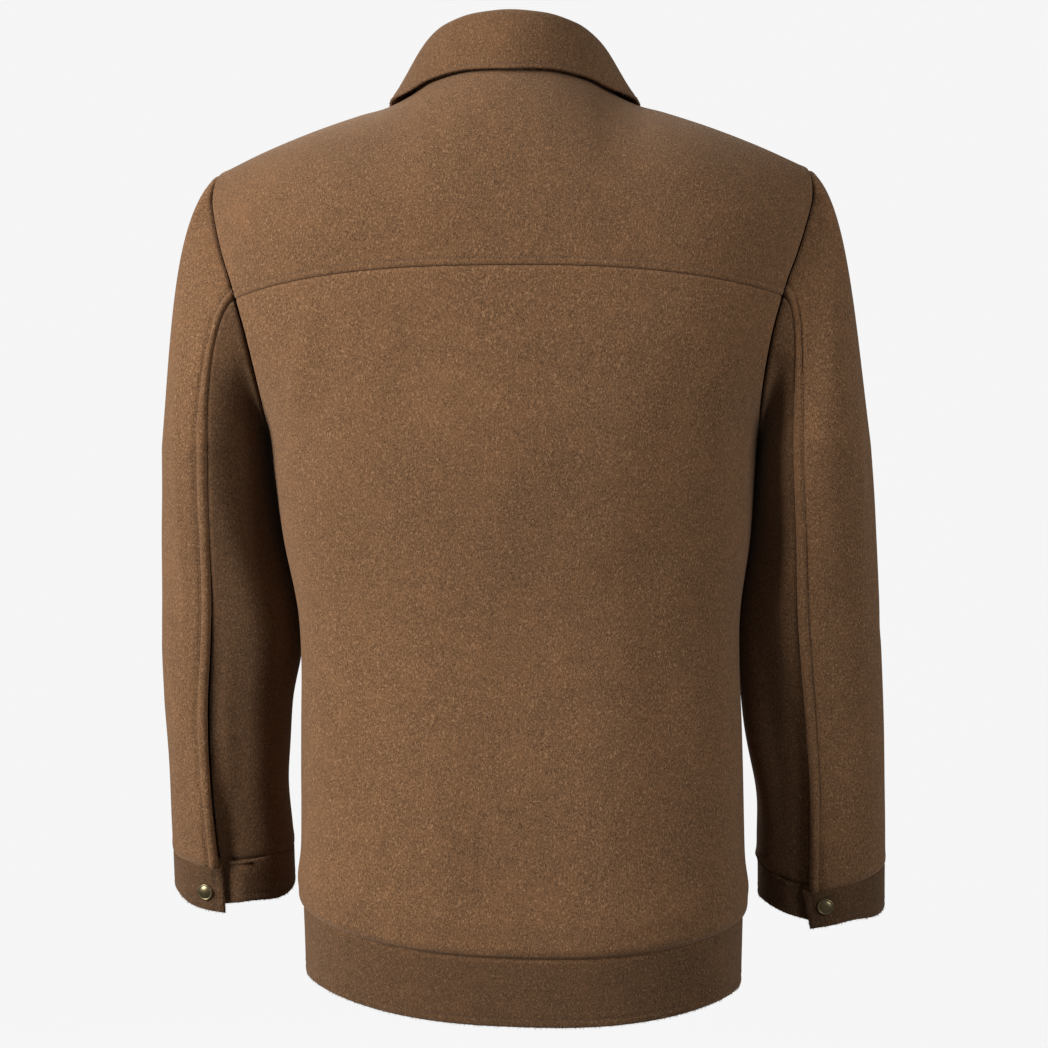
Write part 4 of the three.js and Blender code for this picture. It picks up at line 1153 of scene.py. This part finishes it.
# %% Turn the caps
CAP_PROFILE = [(6.2, -0.3), (6.7, 0.25), (6.65, 0.8), (6.3, 1.15), (5.85, 1.2), (5.45, 1.0),
               (5.2, 0.85), (4.9, 1.0), (4.2, 1.45), (3.2, 1.85), (2.0, 2.12), (1.0, 2.26),
               (0.0, 2.3)]
CAP_SEGMENTS = 40
LEVEL_ENOUGH = 0.99
RIM_DEPTH = 0.0001


def stud_axis(node):
    """The plane of the stud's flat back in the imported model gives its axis."""
    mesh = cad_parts[node].data
    spots = np.array([v.co[:] for v in mesh.vertices])
    weights = np.array([(*face.normal, face.area) for face in mesh.polygons])
    back = weights[np.argmax(weights[:, 3])][:3]
    flat = [np.array(face.normal) for face in mesh.polygons
            if np.dot(face.normal, back) > LEVEL_ENOUGH]
    normal = -unit(np.mean(flat, axis=0))
    along = spots @ normal
    rim = spots[along < along.min() + RIM_DEPTH]
    return rim.mean(axis=0) / MILLIMETRE, normal


def turn_cap(node):
    seat, axis = stud_axis(node)
    if np.dot(seat - np.array([0, SIDE_Y, seat[2]]), axis) < 0 and "cuff" not in node:
        axis = -axis
    side = unit(np.cross(axis, [0, 0, 1.0]))
    other = np.cross(axis, side)
    angles = np.linspace(0, 2 * math.pi, CAP_SEGMENTS, endpoint=False)
    spoke = np.cos(angles)[:, None] * side + np.sin(angles)[:, None] * other
    rings = [seat + axis * h + r * spoke for r, h in CAP_PROFILE[:-1]]
    points = np.concatenate(rings + [[seat + axis * CAP_PROFILE[-1][1]]])
    number = np.arange(CAP_SEGMENTS)
    after = np.roll(number, -1)
    faces = [[a + k * CAP_SEGMENTS, b + k * CAP_SEGMENTS, b + (k + 1) * CAP_SEGMENTS,
              a + (k + 1) * CAP_SEGMENTS] for k in range(len(rings) - 1)
             for a, b in zip(number, after)]
    last = (len(rings) - 1) * CAP_SEGMENTS
    faces += [[a + last, b + last, len(points) - 1] for a, b in zip(number, after)]
    faces.append(number[::-1].tolist())
    mesh = bpy.data.meshes.new("brass_" + node)
    mesh.from_pydata((points * MILLIMETRE).tolist(), [], faces)
    mesh.polygons.foreach_set("use_smooth", np.ones(len(mesh.polygons), bool))
    piece = bpy.data.objects.new("brass_" + node, mesh)
    bpy.context.scene.collection.objects.link(piece)
    return piece


stud_names = [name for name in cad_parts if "stud" in name]
brass_pieces = {name: turn_cap(name) for name in stud_names}
print("studs:", len(brass_pieces))

# %% [markdown]
# ## Sums on sockets
# A finish is a small sum: so much dark fibre, so much light fibre, so much wear. Written
# as Python the sum can be read, so this class wraps a socket and lets + - * add the
# Math nodes. Colours go through Mix nodes, because a Math node would turn them grey.

# %% A socket that can be reckoned with
class Wire:
    def __init__(self, tree, socket=None):
        self.tree, self.socket = tree, socket

    def node(self, kind, settings=None, inputs=None, output=0):
        made = self.tree.nodes.new(kind)
        for name, value in (settings or {}).items():
            setattr(made, name, value)
        for name, value in (inputs or {}).items():
            if isinstance(value, Wire):
                self.tree.links.new(value.socket, made.inputs[name])
            else:
                made.inputs[name].default_value = value
        return Wire(self.tree, made.outputs[output])

    def math(self, operation, *values):
        return self.node("ShaderNodeMath", {"operation": operation}, dict(enumerate(values)))

    def __add__(self, other):
        return self.math("ADD", self, other)

    def __sub__(self, other):
        return self.math("SUBTRACT", self, other)

    def __rsub__(self, other):
        return self.math("SUBTRACT", other, self)

    def __mul__(self, other):
        return self.math("MULTIPLY", self, other)

    __radd__, __rmul__ = __add__, __mul__

    def between(self, low, high):
        ease = {"interpolation_type": "SMOOTHSTEP"}
        return self.node("ShaderNodeMapRange", ease, {"Value": self, "From Min": low,
                                                      "From Max": high})

    def blend(self, first, second):
        """Mixes two colours, this wire being the share of the second."""
        return self.node("ShaderNodeMix", {"data_type": "RGBA"}, {0: self, 6: first, 7: second}, 2)

    def noise(self, at, scale, detail=2.0, rough=0.5):
        return self.node("ShaderNodeTexNoise", None, {
            "Vector": at, "Scale": scale, "Detail": detail, "Roughness": rough})


def new_finish(name):
    material = bpy.data.materials.new(name)
    material.use_nodes = True
    shader = material.node_tree.nodes["Principled BSDF"]
    return material, shader, Wire(material.node_tree)


def plug(wire, shader, name):
    wire.tree.links.new(wire.socket, shader.inputs[name])


print("sums ready on", Wire.__name__, "sockets")

# %% [markdown]
# ## Felted wool
# Melange wool is spun from fibres dyed in several browns, then felted until the weave
# disappears under a short nap. Up close it is a fine speckle of dark and rusty fibres;
# from a step away it has soft patches. The same noise drives colour and bump, so a light
# fibre also stands up a little. Some pieces get a painted shade: their colour is made
# darker to stand for the shadow and the light from above that fall on them.

# %% The wool's finish
DARK_FIBRE = (0.066, 0.033, 0.015, 1)
MID_FIBRE = (0.194, 0.099, 0.046, 1)
LIGHT_FIBRE = (0.335, 0.186, 0.096, 1)
RUST_FIBRE = (0.225, 0.104, 0.044, 1)
SHEEN_TINT = (0.86, 0.62, 0.45, 1)
NAP_RUNS = (1, 1, 0.62)
GRAIN = {"fibre": (1250.0, 3.0, 0.65), "fleck": (760.0, 2.0, 0.6), "burr": (610.0, 2.0, 0.55),
         "cloud": (60.0, 3.0, 0.6), "patch": (10.0, 2.0, 0.5)}


def wool_finish(name, shade):
    material, shader, made = new_finish(name)
    at = made.node("ShaderNodeTexCoord", output=3)
    nap = made.node("ShaderNodeMapping", None, {"Vector": at, "Scale": NAP_RUNS})
    fibre, fleck = (made.noise(nap, *GRAIN[name]) for name in ("fibre", "fleck"))
    burr, cloud, patch = (made.noise(at, *GRAIN[name]) for name in ("burr", "cloud", "patch"))
    colour = fibre.between(0.34, 0.60).blend(DARK_FIBRE, MID_FIBRE)
    colour = (fleck.between(0.53, 0.70) * 0.75).blend(colour, LIGHT_FIBRE)
    colour = (burr.between(0.58, 0.70) * 0.7).blend(colour, DARK_FIBRE)
    colour = (cloud.between(0.45, 0.75) * 0.2 + patch.between(0.4, 0.7) * 0.1).blend(
        colour, RUST_FIBRE)
    tone = 1.0 + (cloud - 0.5) * 0.14 + (patch - 0.5) * 0.12
    # shade is the piece's painted shade: the tone is multiplied by it to darken pieces that lie in
    # shadow.
    grey = made.node("ShaderNodeCombineColor", None, {
        "Red": tone * shade, "Green": tone * shade, "Blue": tone * shade})
    colour = made.node("ShaderNodeMix", {"data_type": "RGBA", "blend_type": "MULTIPLY"}, {
        0: 1.0, 6: colour, 7: grey}, 2)
    plug(colour, shader, "Base Color")
    plug(0.9 + fibre * 0.1, shader, "Roughness")
    height = fibre * 0.5 + fleck * 0.6 + cloud * 0.5
    bump = made.node("ShaderNodeBump", None, {
        "Strength": 0.55, "Distance": 0.001, "Height": height})
    plug(bump, shader, "Normal")
    shader.inputs["Specular IOR Level"].default_value = 0.12
    shader.inputs["Sheen Weight"].default_value = 0.28
    shader.inputs["Sheen Roughness"].default_value = 0.55
    shader.inputs["Sheen Tint"].default_value = SHEEN_TINT
    return material


# Painted shade: the band, collar, cuffs, under sleeves and yoke are darkened in colour for the
# shadow that falls on them and for light from above.
PAINTED_SHADE_BY_PIECE = {"hem_band": 0.72, "collar_fall": 0.82, "cuff_left": 0.56, "cuff_right": 0.5,
              "sleeve_left_under": 0.58, "sleeve_right_under": 0.72, "back_yoke": 0.92}
wool = {node: wool_finish("felted_wool_" + node, PAINTED_SHADE_BY_PIECE.get(node, 1.0))
        for node in wool_pieces}
print("wool finishes:", len(wool), "from", len(GRAIN), "noises each")

# %% [markdown]
# ## Thread
# The thread is twisted, so a fine stripe runs across each stitch. A wave texture gives
# the stripes and a noise breaks them up; modelled strands would be far too fine to see.

# %% The thread's finish
thread_finish, shader, made = new_finish("brown_thread")
at = made.node("ShaderNodeTexCoord", output=3)
twist = made.node("ShaderNodeTexWave", {"bands_direction": "DIAGONAL"}, {
    "Vector": at, "Scale": 420.0, "Distortion": 0.6})
shade = made.noise(at, 600.0)
plug((twist * 0.5 + shade * 0.5).blend((0.045, 0.022, 0.012, 1), (0.15, 0.078, 0.042, 1)),
     shader, "Base Color")
plug(0.7 + shade * 0.2, shader, "Roughness")
plug(made.node("ShaderNodeBump", None, {"Strength": 0.5, "Distance": 0.0002, "Height": twist}),
     shader, "Normal")
shader.inputs["Sheen Weight"].default_value = 0.2
print("thread finish:", thread_finish.name)

# %% [markdown]
# ## Antique brass
# Antique brass is stained brown and rubbed bright again, so its colour and its gloss
# wander slowly over the cap, and small pits stay dull. Two noises say that: a broad one
# for the wear and a fine one for the pits.

# %% The studs' finish
brass_finish, shader, made = new_finish("antique_brass")
at = made.node("ShaderNodeTexCoord", output=3)
worn = made.noise(at, 160.0, 2.0, 0.5)
pits = made.noise(at, 1500.0, 2.0, 0.5)
plug(worn.between(0.3, 0.7).blend((0.20, 0.16, 0.085, 1), (0.28, 0.23, 0.13, 1)),
     shader, "Base Color")
plug(0.30 + worn * 0.16, shader, "Roughness")
plug(0.96 - pits.between(0.6, 0.8) * 0.2, shader, "Metallic")
plug(made.node("ShaderNodeBump", None, {
    "Strength": 0.12, "Distance": 0.00005, "Height": pits}), shader, "Normal")
print("brass finish:", brass_finish.name)

# %% [markdown]
# ## Handing the pieces to the frame
# Each piece rides on the one body and takes its finish, and the imported node that it is
# made from is hidden. The thread, the fibres and the brass caps ride on it too.

# %% Give cloth, thread and studs their finishes
for node, sewn in wool_pieces.items():
    piece, base = sewn["piece"], sewn["base"]
    piece.data.materials.append(wool[node])
    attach(piece, "root")
    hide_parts(node)
    side_a = np.cross(base[1:, 1:] - base[:-1, :-1], base[1:, :-1] - base[:-1, 1:])
    carried = [pieces[node] for pieces in (thread_pieces, fuzz_pieces) if node in pieces]
for node, thread in thread_pieces.items():
    thread.data.materials.append(thread_finish)
    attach(thread, "root")
for node, fuzz in fuzz_pieces.items():
    fuzz.data.materials.append(wool[node])
    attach(fuzz, "root")
for node, piece in brass_pieces.items():
    piece.data.materials.append(brass_finish)
    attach(piece, "root")
    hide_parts(node)

# %% [markdown]
# ## Floor and dome
# The jacket stands over a pale floor that fades into a pale dome, as in front of a paper
# sweep. Both glow by themselves and are seen by the camera alone: they give the cloth no
# light, so it keeps its modelling.

# %% Floor and dome
FLOOR_Z = -1.32
FLOOR_FADE = (1.2, 3.4)
FLOOR_GLOW = (0.80, 0.80, 0.80, 1)
DOME_GLOW = (0.913, 0.913, 0.913, 1)


def stage_finish(name, colour, glow):
    material, shader, made = new_finish(name)
    shader.inputs["Base Color"].default_value = colour
    shader.inputs["Roughness"].default_value = 0.9
    shader.inputs["Emission Color"].default_value = glow
    shader.inputs["Emission Strength"].default_value = 1.0
    return material, shader, made


def stage_piece(name, make, finish):
    make()
    piece = bpy.context.object
    piece.name = name
    piece.data.materials.append(finish)
    for polygon in piece.data.polygons:
        polygon.use_smooth = True
    return piece


floor_finish, shader, made = stage_finish("pale_floor", (0.25, 0.25, 0.25, 1), FLOOR_GLOW)
shader.inputs["Specular IOR Level"].default_value = 0.0
place = made.node("ShaderNodeTexCoord", output=3)
far = made.node("ShaderNodeVectorMath", {"operation": "LENGTH"}, {0: place}, 1)
plug(1 - far.between(*FLOOR_FADE), shader, "Alpha")
floor = stage_piece("floor", lambda: bpy.ops.mesh.primitive_circle_add(
    vertices=96, radius=6, fill_type="NGON", location=(0, 0, FLOOR_Z)), floor_finish)
dome_finish, shader, made = stage_finish("pale_dome", (0.0, 0.0, 0.0, 1), DOME_GLOW)
dome = stage_piece("backdrop", lambda: bpy.ops.mesh.primitive_uv_sphere_add(
    segments=48, ring_count=24, radius=9, location=(0, 0, 0)), dome_finish)
for piece in (floor, dome):
    piece.visible_diffuse = piece.visible_glossy = piece.visible_shadow = False
    piece.visible_transmission = piece.visible_volume_scatter = False
print("floor at", FLOOR_Z, "m")

# %% [markdown]
# ## Lights
# One broad soft light stands on the left, a little above the shoulders and near enough to
# fall off across the back. A weak fill comes from the right and a weaker one from the
# front. Area lights are softboxes already: their size alone sets how soft a shadow is.

# %% Lights
world = bpy.data.worlds.new("soft_room")
bpy.context.scene.world = world
world.use_nodes = True
world.node_tree.nodes["Background"].inputs[0].default_value = (1, 0.99, 0.98, 1)
world.node_tree.nodes["Background"].inputs[1].default_value = 0.15
AIM = Vector((0, 0, -0.2))


def softbox(name, place, size, power, colour):
    light = bpy.data.lights.new(name, "AREA")
    light.shape, light.size, light.size_y = "RECTANGLE", size[0], size[1]
    light.energy, light.color = power, colour
    lamp = bpy.data.objects.new(name, light)
    lamp.location = place
    lamp.rotation_euler = (AIM - Vector(place)).to_track_quat("-Z", "Y").to_euler()
    bpy.context.scene.collection.objects.link(lamp)
    print(name, power, "W at", place)


softbox("key", (1.85, 1.2, 0.4), (1.0, 1.0), 78, (1.0, 0.985, 0.965))
softbox("fill", (-2.2, 1.7, 0.6), (1.5, 1.5), 36, (0.98, 0.99, 1.0))
softbox("front", (0.8, -2.6, 1.2), (1.8, 1.8), 30, (1, 1, 1))

# %% [markdown]
# ## The camera
# The picture was taken level with the middle of the back, a few degrees to one side, with
# a long lens. The image is taken to be 1048 pixels square. The lens is worked out from
# the focal length in pixels, because that is what can be measured in a picture.

# %% Camera
IMAGE_SIZE = 1048
SENSOR = 36
VIEW = {"azimuth": 183.4, "distance": 1.9, "focal_pixels": 2375, "aim": (-0.008, 0, -0.3386)}
turned = math.radians(VIEW["azimuth"])
camera_data = bpy.data.cameras.new("camera")
camera_data.sensor_width = SENSOR
camera_data.lens = SENSOR * VIEW["focal_pixels"] / IMAGE_SIZE
camera = bpy.data.objects.new("camera", camera_data)
aim = Vector(VIEW["aim"])
camera.location = aim + VIEW["distance"] * Vector((math.sin(turned), -math.cos(turned), 0))
camera.rotation_euler = (aim - camera.location).to_track_quat("-Z", "Y").to_euler()
bpy.context.scene.collection.objects.link(camera)
bpy.context.scene.camera = camera
bpy.context.scene.view_settings.view_transform = "Standard"
print("camera at", tuple(round(c, 3) for c in camera.location))
